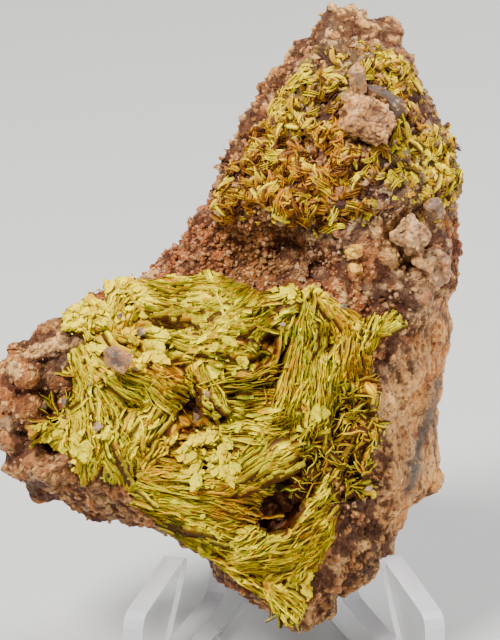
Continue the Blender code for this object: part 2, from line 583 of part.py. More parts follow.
def make_crust(rock, crystals):
    """The crust of small blades over the upper rock."""
    region = Outline(CRUST_REGION)
    crust = new_object("autunite_crust", rock.data.copy(), "autunite_crust")
    thin_out(crust, CRUST_FACES)
    bm = bmesh.new()
    bm.from_mesh(crust.data)
    bm.normal_update()
    moves = []
    for vert in bm.verts:
        inside = region.edge(vert.co.x, vert.co.z)[0] / CRUST_EDGE
        if vert.normal.y > SIDEWAYS or vert.co.y > CRUST_LIMIT:
            inside = -1.0
        inside = min(max(inside, -1.0), 1.0)
        patch = 1.0 + CRUST_UNEVENNESS * noise.noise(vert.co / CRUST_PATCHES)
        amount = CRUST_THICKNESS * patch * inside if inside > 0 else CRUST_DIP * inside
        moves.append(vert.normal * (amount + GAP))
    for vert, move in zip(bm.verts, moves):
        vert.co += move
    bm.to_mesh(crust.data)
    tree = BVHTree.FromBMesh(bm)
    bm.free()
    shaker = random.Random(5)
    low = region.start.min(axis=0)
    high = region.start.max(axis=0)
    made = 0
    while made < BLADE_COUNT:
        across = shaker.uniform(low[0], high[0])
        up = shaker.uniform(low[1], high[1])
        if region.edge(across, up)[0] < BLADE_INSET:
            continue
        before = spot(across / MM, up / MM, AHEAD)
        place, normal, _, _ = tree.ray_cast(before, Vector((0.0, 1.0, 0.0)))
        blade = new_object("blade", blade_mesh(place, normal, shaker))
        combine(crust, blade, "UNION", "MANIFOLD")
        made += 1
    thin_out(crust, BLADED_FACES)
    cut_clear(crust, [rock] + crystals)
    keep_largest(crust)
    return crust


def make_crystal(name, middle, size, turn, tilt, neighbours):
    """A six-sided quartz crystal with a pointed end, cut off where its neighbours begin."""
    width, depth, length = size
    bm = bmesh.new()
    body = length * (1 - CRYSTAL_POINT)
    bmesh.ops.create_cone(
        bm, cap_ends=True, segments=CRYSTAL_SIDES, radius1=0.5 * MM, radius2=0.5 * MM,
        depth=body * MM)
    top = max(bm.faces, key=lambda face: face.calc_center_median().z)
    peak = bmesh.ops.poke(bm, faces=[top])["verts"][0]
    peak.co.z += length * CRYSTAL_POINT * MM
    peak.co.x += POINT_SHIFT
    bmesh.ops.scale(bm, vec=(width, depth, 1.0), verts=bm.verts[:])
    frame = Matrix.Translation(spot(*middle))
    frame = frame @ Matrix.Rotation(math.radians(-turn), 4, "Y")
    frame = frame @ Matrix.Rotation(math.radians(tilt), 4, "X")
    bmesh.ops.transform(bm, matrix=frame, verts=bm.verts[:])
    crystal = new_object(name, mesh_from(bm, name), "quartz")
    cut_clear(crystal, neighbours)
    keep_largest(crystal)
    return crystal


def make_chunk(name, middle, size, turn, roughness, neighbours):
    """A blocky, granular chunk that sits on the rock."""
    width, height, depth = size
    bm = bmesh.new()
    bmesh.ops.create_icosphere(bm, subdivisions=3 if width > BIG_CHUNK else 2, radius=0.5 * MM)
    for vert in bm.verts:
        vert.co = vert.co.normalized() * 0.5 * MM
        largest = max(abs(value) for value in vert.co)
        vert.co *= 1.0 + CHUNK_BLOCKINESS * (0.5 * MM / largest - 1.0)
        vert.co = Vector((vert.co.x * width, vert.co.y * depth, vert.co.z * height))
        seat = vert.co + spot(*middle)
        vert.co *= 1.0 + roughness * (voronoi_bump(seat, CHUNK_GRAIN) - 0.5) * 2.0
    frame = Matrix.Translation(spot(*middle)) @ Matrix.Rotation(math.radians(-turn), 4, "Y")
    bmesh.ops.transform(bm, matrix=frame, verts=bm.verts[:])
    chunk = new_object(name, mesh_from(bm, name), "feldspar" if "quartz" not in name else "quartz")
    thin_out(chunk, CHUNK_FACES if width > BIG_CHUNK else GRAIN_FACES)
    cut_clear(chunk, neighbours)
    keep_largest(chunk)
    return chunk


def rounded(profile):
    """Corner points of a profile, with each corner that has a radius turned into an arc."""
    points = []
    for index, (x, y, radius) in enumerate(profile):
        here = Vector((x, y))
        before = (Vector(profile[index - 1][:2]) - here).normalized()
        after = (Vector(profile[(index + 1) % len(profile)][:2]) - here).normalized()
        if radius == 0.0:
            points.append(here)
            continue
        half = before.angle(after) / 2
        cut = radius / math.tan(half)
        centre = here + (before + after).normalized() * (radius / math.sin(half))
        start = here + before * cut - centre
        finish = here + after * cut - centre
        sweep = start.angle_signed(finish)
        for step in range(CORNER_STEPS + 1):
            spoke = start.copy()
            spoke.rotate(Matrix.Rotation(-sweep * step / CORNER_STEPS, 2))
            points.append(centre + spoke)
    return points


def make_plate(side):
    """One plate of the easel, from its profile, turned out to the given side."""
    bm = bmesh.new()
    corners = [bm.verts.new((0.0, -point.x * MM, point.y * MM)) for point in rounded(PLATE_PROFILE)]
    face = bm.faces.new(corners)
    wall = bmesh.ops.extrude_face_region(bm, geom=[face])
    moved = [item for item in wall["geom"] if isinstance(item, bmesh.types.BMVert)]
    bmesh.ops.translate(bm, vec=(PLATE, 0.0, 0.0), verts=moved)
    bmesh.ops.translate(bm, vec=(-PLATE / 2, 0.0, 0.0), verts=bm.verts[:])
    bmesh.ops.rotate(bm, cent=(0, 0, 0), matrix=Matrix.Rotation(side * PLATE_SPREAD, 3, "Z"),
                     verts=bm.verts[:])
    return new_object("plate", mesh_from(bm, "plate"), "acrylic_stand")


def make_stand():
    """The easel: two mirrored clear plates that meet in a rounded spine at the back."""
    stand = make_plate(-1)
    stand.name = "acrylic_stand"
    combine(stand, make_plate(1), "UNION")
    bm = bmesh.new()
    bmesh.ops.create_cone(
        bm, cap_ends=True, segments=16, radius1=SPINE_RADIUS, radius2=SPINE_RADIUS,
        depth=SPINE_HEIGHT, matrix=Matrix.Translation((0, 0, SPINE_HEIGHT / 2)))
    combine(stand, new_object("spine", mesh_from(bm, "spine")), "UNION")
    keep_largest(stand)
    stand.location = (SPINE_X, SPINE_Y, 0.0)
    return stand


def stand_on_origin(pieces, roots):
    """Moves everything so that the origin is under the middle of the object's box."""
    bpy.context.view_layer.update()
    corners = [piece.matrix_world @ vert.co for piece in pieces for vert in piece.data.vertices]
    low = [min(corner[axis] for corner in corners) for axis in range(3)]
    high = [max(corner[axis] for corner in corners) for axis in range(3)]
    shift = Vector(((low[0] + high[0]) / 2, (low[1] + high[1]) / 2, low[2]))
    for root in roots:
        root.location -= shift


def build():
    """Makes every piece and leans the stone against the easel."""
    clear_scene()
    rock = make_rock()
    crystals = []
    for entry in CRYSTALS:
        crystals.append(make_crystal(*entry, [rock] + crystals))
    for entry in CHUNKS:
        crystals.append(make_chunk(*entry, [rock] + crystals))
    fans = make_fans(rock, crystals)
    crust = make_crust(rock, crystals)
    stand = make_stand()
    lean = bpy.data.objects.new("stone_frame", None)
    bpy.context.scene.collection.objects.link(lean)
    lean.rotation_euler.x = -LEAN
    lean.location.z = TIP_HEIGHT
    stone = [rock, fans, crust] + crystals
    for piece in stone:
        piece.parent = lean
    stand_on_origin(stone + [stand], [lean, stand])


build()
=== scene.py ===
"""Looks of an autunite specimen: plates, blades and quartz grown over its solids, and its stage.

The stone has its own frame: across runs to the right, up runs up its leaning front face and out
points from that face to the viewer. Tables of places are in millimetres in that frame.
"""

import math

import bmesh
import bpy
import numpy as np
from bpy.props import FloatProperty, FloatVectorProperty, IntProperty, PointerProperty
from mathutils import Matrix, Vector, noise
from mathutils.bvhtree import BVHTree


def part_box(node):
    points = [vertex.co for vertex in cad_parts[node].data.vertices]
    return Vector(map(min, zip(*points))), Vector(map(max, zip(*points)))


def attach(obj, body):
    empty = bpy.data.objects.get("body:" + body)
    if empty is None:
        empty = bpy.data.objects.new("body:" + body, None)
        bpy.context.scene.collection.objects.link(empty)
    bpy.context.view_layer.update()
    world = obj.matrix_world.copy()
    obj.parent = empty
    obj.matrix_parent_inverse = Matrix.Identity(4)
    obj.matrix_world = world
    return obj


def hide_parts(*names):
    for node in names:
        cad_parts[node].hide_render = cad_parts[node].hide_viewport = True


bl_info = {
    "name": "Autunite specimen",
    "version": (1, 0, 0),
    "blender": (4, 5, 0),
    "location": "View3D > Sidebar > Specimen",
    "description": "Dresses the solids of an autunite specimen on a clear easel",
    "category": "Add Mesh",
}

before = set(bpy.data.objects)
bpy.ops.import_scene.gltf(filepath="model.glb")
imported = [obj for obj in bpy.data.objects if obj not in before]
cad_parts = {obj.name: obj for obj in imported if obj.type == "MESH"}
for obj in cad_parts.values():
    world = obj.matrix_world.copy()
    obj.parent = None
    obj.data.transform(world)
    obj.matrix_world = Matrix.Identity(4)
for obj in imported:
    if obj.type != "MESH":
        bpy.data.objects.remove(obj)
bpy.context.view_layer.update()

MM = 0.001
LEAN = math.radians(20.0)          # the stone leans back against the easel
TIP_HEIGHT = 9.0                   # its lower tip hangs this far over the surface
SPINE_X = 4.8                      # the easel's rear spine in the stone's frame
SPINE_BACK = 56.4
PLATE_TURN = math.radians(18.0)    # each of the easel's plates turns this far from straight ahead
HIDDEN = -30.0                     # depth noted where a ray meets nothing

CENTRE = (-4.0, 30.0)              # about the middle of the lower mass of plates
CENTRE_REACH = 8.0                 # books farther from it than this lean towards it
SPLIT = 31.0                       # height that parts the upper plates from the lower ones
PITCH_SHARE = 0.40                 # how closely plates stand, as a share of a book's pitch
BOOK_STEP = 0.65                   # how far books stand over or under each other
LEAST_INSIDE = 0.42                # a plate grows where the softened mass has this much, of 1
LEAST_SHEET = 0.8                  # the least thickness of the filling under plates and blades
FULL_SWIRL = 3.1                   # scattered things turn by up to this to either side, in radians

# Sizes of the rock's random forms, from grit to domes, and of the waves that bend its grains.
GRIT = 1.1
SMALL_GRAIN = 1.5
GRAIN = 3.1
DOME = 3.7
GRAIN_WARP = 1.7

STAND_LOW, STAND_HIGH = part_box("acrylic_stand")
STONE_ORIGIN = Vector((
    (STAND_LOW.x + STAND_HIGH.x) / 2 - SPINE_X * MM,
    STAND_HIGH.y - SPINE_BACK * MM,
    TIP_HEIGHT * MM,
))
STONE_TURN = Matrix.Rotation(-LEAN, 3, "X")
TURN = np.array(STONE_TURN)
ORIGIN = np.array(STONE_ORIGIN)

# Colours laid over the rock: (across, up, radius, colour).
ROCK_PAINT = [
    (12.3, 87.2, 3.0, "pale"), (18.4, 87.6, 3.2, "pale"), (7.3, 80.6, 3.0, "pink"),
    (16.0, 90.0, 2.6, "pale"), (8.0, 85.0, 2.0, "tan"), (14.6, 84.8, 2.0, "pale"),
    (20.6, 84.4, 1.8, "rust"),
    (3.4, 76.0, 2.4, "tan"), (1.2, 70.4, 2.6, "ochre"), (-1.5, 65.4, 2.6, "tan"),
    (-6.4, 59.6, 3.0, "rust"), (-12.6, 54.4, 3.0, "rust"), (-15.6, 52.0, 2.4, "rust"),
    (-6.0, 53.0, 1.6, "rust"),
    (-2.0, 55.4, 3.8, "clay"), (3.0, 54.6, 2.6, "clay"), (5.6, 57.2, 2.0, "dark"),
    (10.2, 50.6, 3.0, "rust"), (6.4, 52.6, 2.0, "dark"), (14.5, 50.4, 2.6, "rust"),
    (18.1, 49.0, 2.6, "sienna"), (18.6, 54.4, 2.8, "clay"), (12.4, 56.6, 2.8, "grey"),
    (21.8, 55.7, 2.4, "pale"), (23.2, 48.4, 2.2, "grey"), (27.6, 54.2, 2.8, "sienna"),
    (26.1, 62.9, 2.6, "pink"), (29.7, 65.8, 3.0, "tan"), (29.6, 72.0, 2.6, "tan"),
    (28.3, 43.4, 2.2, "ochre"), (28.4, 38.0, 2.2, "ochre"), (21.0, 42.6, 2.4, "clay"),
    (24.6, 40.0, 2.0, "tan"), (21.0, 34.6, 2.2, "pale"), (17.6, 36.8, 1.8, "grey"),
    (24.4, 34.6, 1.6, "ochre"), (28.9, 40.8, 1.6, "ochre"), (28.8, 46.0, 1.6, "ochre"),
    (26.4, 31.0, 1.4, "ochre"), (27.0, 31.4, 1.4, "pale"),
    (21.6, 29.4, 2.0, "pink"), (20.6, 25.6, 1.8, "tan"), (25.6, 24.4, 1.6, "pale"),
    (27.6, 22.6, 2.0, "ochre"), (23.4, 19.4, 1.8, "ochre"), (19.6, 20.4, 1.8, "pink"),
    (15.6, 17.0, 2.4, "tan"), (13.0, 11.4, 2.2, "clay"),
    (19.0, 12.0, 3.0, "tan"), (10.2, 3.6, 3.2, "clay"), (6.0, 1.6, 2.0, "tan"),
    (-34.4, 41.2, 2.6, "tan"), (-31.4, 40.2, 2.4, "clay"), (-30.0, 35.4, 2.6, "sienna"),
    (-27.2, 34.4, 2.2, "dark"), (-34.4, 33.2, 2.8, "clay"), (-34.0, 29.0, 2.6, "clay"),
    (-29.4, 26.8, 2.6, "grey"), (-36.0, 25.6, 2.4, "tan"), (-30.0, 21.4, 3.4, "tan"),
    (-22.0, 18.2, 3.4, "tan"), (-12.0, 13.2, 3.2, "clay"), (-3.0, 8.4, 2.8, "sienna"),
    (19.0, 64.4, 2.4, "slate"), (14.4, 62.0, 2.4, "grey"), (16.0, 80.0, 3.0, "pink"),
]

# Colours laid over the lower mass of plates. The umber spots over the hollows, such as the one at (5.2,
# 18.8), are painted shade.
FAN_PAINT = [
    (-24.6, 44.6, 1.9, "cream"), (-21.6, 41.4, 1.8, "cream"), (-19.4, 47.6, 2.2, "yellow"),
    (-14.6, 48.6, 2.2, "yellow"), (-10.6, 47.0, 2.4, "olive"), (-22.0, 38.6, 1.8, "yellow"),
    (-13.8, 41.4, 1.8, "yellow"), (-17.4, 43.4, 1.8, "amber"), (-5.2, 50.8, 1.6, "yellow"),
    (-1.9, 50.0, 1.3, "green"), (-0.2, 48.0, 1.2, "green"), (-2.4, 45.6, 2.0, "lime"),
    (1.6, 46.6, 1.7, "green"), (2.6, 50.4, 1.4, "amber"), (4.6, 48.4, 1.6, "lime"),
    (7.2, 50.0, 1.7, "cream"), (10.6, 48.2, 1.7, "yellow"), (13.6, 44.8, 1.8, "amber"),
    (17.2, 42.8, 1.7, "cream"), (19.6, 46.2, 1.9, "cream"), (16.8, 39.4, 1.8, "amber"),
    (6.4, 44.4, 1.8, "lime"), (9.8, 43.6, 1.9, "yellow"), (7.4, 39.6, 1.8, "green"),
    (10.2, 39.2, 1.8, "lime"), (6.8, 35.2, 1.8, "yellow"), (9.8, 33.6, 1.9, "lime"),
    (5.4, 31.6, 1.6, "yellow"), (-5.4, 37.8, 1.5, "yellow"), (-1.6, 37.4, 1.8, "lime"),
    (1.6, 34.8, 1.8, "olive"), (4.2, 37.0, 1.4, "amber"), (3.0, 41.6, 1.6, "umber"),
    (-2.6, 41.4, 1.7, "yellow"), (-7.6, 42.8, 2.0, "cream"), (-6.2, 45.2, 1.6, "lime"),
    (-7.6, 33.6, 1.9, "umber"), (-8.8, 29.4, 1.7, "amber"), (-4.6, 30.8, 1.8, "olive"),
    (-22.6, 34.4, 1.8, "yellow"), (-20.4, 30.0, 1.9, "lime"), (-23.6, 28.0, 1.6, "cream"),
    (-19.0, 24.2, 1.8, "yellow"), (-21.4, 22.6, 1.6, "lime"), (-26.6, 29.6, 1.6, "yellow"),
    (-29.8, 31.0, 1.6, "umber"),
    (-15.4, 29.8, 1.8, "yellow"), (-14.2, 34.4, 1.5, "lime"), (-17.6, 35.0, 1.4, "green"),
    (-12.4, 37.6, 1.5, "amber"), (-12.0, 25.6, 2.0, "amber"), (-7.6, 23.8, 2.0, "olive"),
    (-5.2, 26.8, 1.6, "cream"), (-9.2, 19.6, 2.2, "lime"), (-2.2, 19.0, 1.8, "amber"),
    (-14.6, 19.4, 1.8, "lime"), (-5.2, 14.8, 1.8, "cream"), (-11.4, 16.6, 1.6, "olive"),
    (0.8, 25.2, 1.8, "lime"), (-1.4, 28.4, 1.7, "lime"), (4.4, 27.4, 1.6, "yellow"),
    (8.8, 29.8, 1.8, "olive"), (12.2, 33.0, 1.8, "olive"), (10.0, 25.6, 2.2, "umber"),
    (14.4, 29.0, 1.8, "amber"), (12.4, 26.8, 1.4, "olive"), (17.2, 29.6, 1.3, "yellow"),
    (16.4, 25.8, 1.4, "yellow"),
    (5.2, 18.8, 2.4, "umber"), (1.8, 13.6, 2.0, "lime"), (7.2, 12.0, 2.0, "yellow"),
    (10.8, 18.4, 1.4, "yellow"), (7.4, 16.2, 1.5, "amber"), (5.6, 8.4, 1.8, "yellow"),
    (-0.8, 9.2, 1.6, "yellow"), (5.0, 3.8, 1.8, "yellow"), (2.0, 6.8, 1.4, "amber"),
]

# Colours laid over the crust of small blades on the upper rock.
CRUST_PAINT = [
    (5.8, 78.2, 2.0, "yellow"), (7.3, 74.6, 2.0, "yellow"), (10.2, 81.4, 1.8, "yellow"),
    (14.0, 79.6, 1.6, "yellow"), (18.9, 83.4, 2.0, "yellow"), (21.6, 80.4, 1.8, "yellow"),
    (21.4, 76.0, 1.8, "amber"), (10.4, 76.6, 2.0, "umber"), (11.6, 70.4, 2.2, "amber"),
    (0.4, 69.0, 2.4, "umber"), (5.8, 66.4, 2.4, "amber"), (11.6, 65.0, 2.4, "amber"),
    (2.6, 63.4, 2.2, "amber"), (-3.4, 63.0, 2.2, "umber"), (-4.4, 60.4, 1.6, "amber"),
    (7.3, 60.8, 2.0, "amber"), (18.6, 70.6, 1.6, "olive"), (21.8, 68.6, 1.8, "lime"),
    (24.8, 67.0, 2.4, "cream"), (27.0, 70.6, 2.2, "cream"), (28.0, 65.6, 2.2, "cream"),
    (18.8, 64.6, 2.2, "dark"), (13.8, 60.4, 2.0, "umber"), (23.4, 61.6, 2.2, "dark"),
    (27.2, 60.8, 1.6, "amber"), (6.4, 71.2, 2.0, "umber"), (24.0, 74.0, 2.0, "amber"),
    (14.0, 84.0, 2.4, "dark"), (18.0, 77.0, 2.0, "dark"), (2.6, 73.0, 2.0, "sienna"),
]

# Books of plates in the lower mass: (root across, root up, heading in degrees, fan angle in
# degrees, length, half width at the root, curl in degrees, lean in degrees, pitch).
BOOKS = [
    (8.6, 50.0, -97, 14, 13.5, 2.9, -4, 22, 0.34), (9.0, 40.8, -99, 16, 11.5, 3.2, -8, 26, 0.32),
    (10.6, 48.4, -52, 22, 6.4, 0.9, -20, 34, 0.34), (16.2, 41.0, 82, 52, 6.6, 1.0, 0, 30, 0.30),
    (18.0, 44.0, 28, 60, 4.0, 0.8, 0, 36, 0.32), (14.6, 43.6, -96, 30, 6.6, 1.0, 0, 30, 0.34),
    (6.8, 49.6, 204, 22, 9.6, 1.9, 10, 38, 0.36),
    (-6.2, 52.2, -62, 20, 9.0, 1.5, 6, 52, 0.44), (-15.4, 49.4, -8, 16, 12.0, 2.4, 4, 44, 0.42),
    (-20.4, 45.4, 156, 34, 7.0, 2.2, 0, 46, 0.34), (-18.4, 46.0, 64, 24, 5.6, 2.4, 0, 44, 0.32),
    (-6.6, 34.4, 4, 20, 11.8, 2.0, 4, 24, 0.44), (-7.4, 38.8, -66, 12, 7.0, 1.1, 0, 36, 0.46),
    (-23.6, 37.0, -78, 34, 16.2, 1.8, 8, 40, 0.38), (-12.0, 33.8, -128, 22, 10.0, 1.8, -6, 40, 0.40),
    (-19.8, 37.8, -24, 14, 5.4, 1.9, 0, 30, 0.30), (-14.4, 37.6, -34, 16, 5.8, 1.9, 0, 30, 0.30),
    (-15.6, 21.6, -9, 14, 17.5, 2.9, -6, 24, 0.30), (-3.6, 22.2, 33, 24, 10.8, 1.7, 8, 40, 0.38),
    (-2.2, 11.6, 17, 30, 16.0, 2.2, 18, 28, 0.32), (2.8, 6.6, -48, 34, 6.0, 1.4, 0, 36, 0.38),
    (-6.8, 12.6, -37, 8, 12.5, 0.9, 2, 50, 0.36), (-9.2, 42.6, 9, 16, 9.4, 1.9, -6, 52, 0.44),
    (-25.0, 41.6, -62, 26, 6.6, 1.7, 0, 46, 0.38), (2.4, 22.0, -16, 20, 6.4, 1.3, 0, 34, 0.40),
    (-28.6, 30.4, 208, 40, 4.0, 1.2, 0, 40, 0.42), (-12.4, 26.6, -6, 18, 13.0, 2.2, 0, 36, 0.38),
    (-0.4, 49.4, 216, 22, 8.4, 1.6, 6, 46, 0.42), (-13.4, 45.0, -4, 20, 9.8, 1.8, 2, 50, 0.46),
    (4.4, 46.4, 192, 16, 9.6, 1.5, 6, 34, 0.36), (-17.0, 31.4, -104, 26, 9.0, 2.0, 0, 42, 0.42),
    (-9.4, 17.4, -10, 14, 11.0, 1.7, 0, 30, 0.32), (6.6, 42.6, -118, 12, 8.0, 1.6, 0, 28, 0.36),
    (-3.4, 30.2, -2, 16, 8.0, 1.4, 4, 32, 0.40), (1.6, 27.2, 30, 16, 6.0, 1.4, 0, 36, 0.36),
    (3.4, 9.6, 40, 26, 8.6, 1.6, 12, 30, 0.34), (6.2, 5.4, -62, 44, 4.4, 1.2, 0, 30, 0.36),
    (-25.4, 38.4, -86, 8, 12.5, 1.0, 4, 38, 0.34), (-16.6, 18.0, -22, 10, 12.0, 1.5, 0, 34, 0.34),
    (11.6, 17.8, -118, 16, 8.0, 1.4, 0, 34, 0.34),
]

# Single long plates whose faces show: (across, up) of both ends, height, lean in degrees, colour.
RIBBONS = [
    (-6.4, 52.6, -2.8, 44.8, 2.6, 62, "yellow"), (-4.6, 51.2, -0.6, 43.8, 2.2, 58, "lime"),
    (-6.4, 12.0, 3.4, 5.0, 1.6, -58, "yellow"), (-2.6, 9.6, 4.4, 3.8, 1.4, -56, "cream"),
    (-23.0, 37.4, -21.0, 27.6, 2.2, 46, "yellow"), (-21.6, 34.6, -19.4, 22.4, 2.2, 42, "yellow"),
    (-19.6, 31.6, -17.4, 21.8, 2.2, 40, "lime"), (-23.6, 31.0, -21.6, 23.8, 1.8, 44, "cream"),
    (-8.8, 39.6, -2.2, 42.4, 2.4, -66, "yellow"), (-9.0, 42.0, -1.0, 44.6, 2.6, -64, "lime"),
    (-8.2, 44.8, 0.4, 47.0, 2.2, -60, "lime"), (-7.8, 37.4, -4.8, 31.8, 1.8, 48, "yellow"),
    (-6.0, 37.4, -3.0, 32.4, 1.8, 44, "lime"), (8.0, 17.8, 13.0, 25.6, 1.8, -56, "yellow"),
    (6.8, 15.6, 12.2, 21.4, 1.8, -54, "lime"), (11.0, 48.6, 13.6, 45.6, 1.2, 50, "yellow"),
    (16.0, 41.4, 17.6, 38.2, 1.5, 68, "amber"), (14.8, 41.0, 15.6, 46.2, 1.1, 56, "yellow"),
    (16.6, 41.8, 18.6, 45.8, 1.2, -56, "yellow"), (9.4, 49.4, 12.6, 45.6, 1.2, 58, "yellow"),
    (-21.8, 24.8, -18.0, 33.2, 2.0, -54, "lime"), (-9.8, 30.6, -15.8, 22.8, 2.4, 54, "yellow"),
    (-12.8, 31.8, -17.6, 24.8, 2.2, 50, "lime"), (0.6, 24.4, 7.0, 29.2, 2.0, -52, "lime"),
    (-15.2, 17.4, -4.0, 14.8, 1.8, 60, "lime"), (12.8, 46.6, 12.0, 38.8, 1.6, -50, "yellow"),
    (-10.6, 40.8, -3.4, 39.4, 2.6, -70, "lime"), (-11.4, 43.4, -5.6, 43.6, 2.4, -68, "yellow"),
    (-4.6, 42.8, 1.4, 41.2, 2.2, -66, "green"), (2.2, 45.4, 6.8, 47.2, 1.8, -60, "green"),
    (-18.6, 28.6, -15.8, 20.4, 2.0, 46, "green"), (9.0, 46.4, 8.2, 38.2, 1.6, -48, "green"),
    (-21.0, 44.6, -16.0, 41.8, 2.2, 62, "cream"),
]

# Hollows left open between the plates, darkened with painted shade: (across, up, radius, depth).
HOLLOWS = [
    (-6.8, 33.6, 2.1, 4.0), (4.8, 18.4, 3.0, 5.0), (3.2, 16.4, 1.8, 3.0), (7.2, 21.6, 2.0, 3.6),
    (4.9, 40.6, 1.2, 3.0), (3.6, 42.4, 0.9, 2.4), (-2.6, 34.4, 0.7, 1.8), (1.4, 35.8, 0.6, 1.6),
    (0.2, 32.6, 0.7, 1.8), (-4.0, 31.4, 0.6, 1.4), (-13.2, 36.0, 0.8, 1.8), (-20.6, 33.0, 0.5, 1.2),
    (-11.6, 20.6, 0.6, 1.0), (13.4, 41.4, 1.0, 1.8),
    (10.2, 22.8, 1.6, 2.0), (-17.0, 22.8, 0.9, 1.4), (-26.2, 35.6, 1.2, 1.6),
]

# Single grains of quartz caught in the plates: (across, up, size).
GRAINS = [
    (-21.5, 30.4, 1.9), (-15.4, 43.8, 1.8), (-13.0, 42.6, 1.2), (-18.4, 46.0, 1.4), (-16.0, 38.6, 1.6),
    (-26.4, 33.8, 1.6), (-29.4, 33.4, 1.8), (-22.6, 36.4, 1.1), (13.2, 47.4, 1.2), (16.8, 21.6, 1.6),
    (-7.8, 31.6, 1.8), (-6.0, 35.0, 1.4), (4.6, 44.8, 1.0),
]

# Where the mass of plates stops short and rock shows: (across, up, radius).
BARE = [(-27.5, 52.5, 5.2), (-4.6, 2.6, 6.4), (0.2, -0.6, 5.4)]

# Where the filling lies deep below loose blades: (across, up, radius, depth).
LOWERED = [(10.0, 28.0, 3.4, 2.4), (12.6, 32.8, 2.6, 2.2), (12.6, 24.0, 3.0, 2.4)]

# Where plates also stand beside the solid mass: (across, up, radius).
OUTLIERS = [(18.4, 43.6, 3.4), (21.0, 46.0, 2.0), (-28.0, 31.0, 2.6), (-30.4, 34.0, 2.0)]

# Zones of small blades that point every way: (across, up, radius, blades).
TANGLES = [
    (9.4, 28.6, 2.9, 120), (12.4, 32.6, 2.6, 100), (11.0, 24.4, 3.0, 130), (14.6, 28.4, 2.4, 90),
    (14.8, 36.0, 2.0, 60), (8.6, 21.8, 2.6, 70), (14.2, 23.4, 2.0, 60), (16.6, 31.4, 1.6, 40),
    (-27.4, 32.4, 2.2, 60), (-26.4, 36.6, 1.8, 40), (-18.6, 40.6, 2.6, 50), (5.2, 5.4, 2.0, 50),
    (14.0, 42.2, 1.6, 30), (-12.6, 38.8, 2.0, 40),
]

# Where the rock's skin swells past its solid: (across, up, radius, height).
SWELLS = [
    (29.0, 36.0, 6.0, 0.7), (29.0, 46.0, 5.0, 0.6), (26.0, 22.0, 5.0, 1.2), (17.5, 8.5, 4.0, 1.2),
    (3.4, 81.0, 3.0, 0.3), (14.0, 90.0, 4.0, 0.4), (-35.6, 43.6, 2.8, -1.7), (30.5, 70.0, 5.0, -0.9),
    (-18.0, 15.6, 4.0, 0.9), (-31.0, 20.0, 3.0, 0.8), (-2.8, 5.6, 3.0, 0.9), (0.6, 2.6, 2.4, 0.8),
    (4.8, 57.0, 1.6, -1.6), (9.4, 53.0, 1.3, -1.4), (3.0, 52.6, 1.2, -1.2), (20.6, 57.4, 1.2, -1.3),
    (17.8, 50.8, 1.0, -1.1), (11.8, 73.6, 1.2, -1.0),
]

# A dark vein across the sheared side: (across, up) of its bends.
VEIN = [
    (26.6, 36.6), (26.0, 33.6), (25.2, 32.2), (24.9, 29.4), (23.8, 27.0), (23.2, 23.6),
    (22.0, 20.8),
]
VEIN_WIDTH = 0.75

# Where the rock is rounded into large lumps, and where it is pitted: (across, up, radius, share).
LUMPY_SPOTS = [
    (-34.0, 39.0, 4.0, 1.0), (-33.0, 31.0, 4.0, 1.0), (-29.0, 25.0, 3.0, 0.8), (14.0, 88.0, 4.0, 0.3),
    (22.0, 54.0, 4.0, 0.6), (12.0, 50.0, 3.0, 0.4), (28.0, 66.0, 3.0, 0.4), (16.0, 17.0, 3.0, 0.5),
]
PITTED_SPOTS = [
    (14.0, 87.0, 5.0, 0.4), (3.0, 77.0, 4.0, 1.0), (-3.0, 68.0, 4.0, 1.0), (-11.0, 57.0, 3.0, 0.8),
    (24.0, 56.0, 4.0, 0.4),
    (15.6, 18.0, 2.8, 1.0), (16.6, 12.0, 3.0, 0.9), (17.4, 25.0, 2.2, 0.7), (11.0, 6.0, 2.6, 0.6),
    (21.0, 43.6, 2.6, 0.9), (18.4, 38.0, 1.8, 0.6),
]

# How thick things grow, from 0 to 1, in spots: (across, up, radius, share).
DRUSE_SPOTS = [
    (-2.2, 55.0, 5.0, 1.0), (4.0, 55.0, 3.0, 0.9), (-10.0, 54.6, 3.4, 0.8), (-33.0, 39.0, 4.2, 0.12),
    (-32.0, 31.0, 4.2, 0.12), (-28.0, 26.0, 3.0, 0.15), (10.2, 51.0, 3.4, 0.4), (17.0, 48.6, 3.0, 0.25),
    (24.0, 50.0, 3.4, 0.12), (13.0, 56.0, 3.0, 0.2), (24.0, 38.0, 3.0, 0.03), (22.0, 24.0, 4.0, 0.03),
    (14.0, 86.0, 4.0, 0.05), (5.0, 79.0, 3.0, 0.10), (27.0, 58.0, 4.0, 0.10), (14.0, 14.0, 3.0, 0.10),
    (-20.0, 17.0, 4.0, 0.05), (2.0, 7.0, 3.0, 0.1), (17.0, 63.0, 2.4, 0.3),
]
BLADE_SPOTS = [
    (5.8, 66.4, 4.2, 1.0), (11.0, 67.6, 3.4, 1.0), (0.0, 65.0, 3.4, 1.0), (-3.6, 61.6, 2.2, 0.8),
    (6.6, 75.6, 2.4, 0.8), (19.6, 81.0, 2.0, 0.7), (21.6, 77.0, 1.8, 0.6), (26.0, 70.0, 2.0, 0.5),
    (27.6, 65.0, 1.4, 0.4), (11.0, 80.0, 1.8, 0.6), (13.8, 60.4, 1.6, 0.5), (2.4, 70.0, 2.2, 0.6),
    (17.0, 70.0, 1.6, 0.6), (7.0, 61.6, 1.6, 0.5), (12.6, 72.4, 1.6, 0.6), (22.4, 71.0, 1.6, 0.4),
]
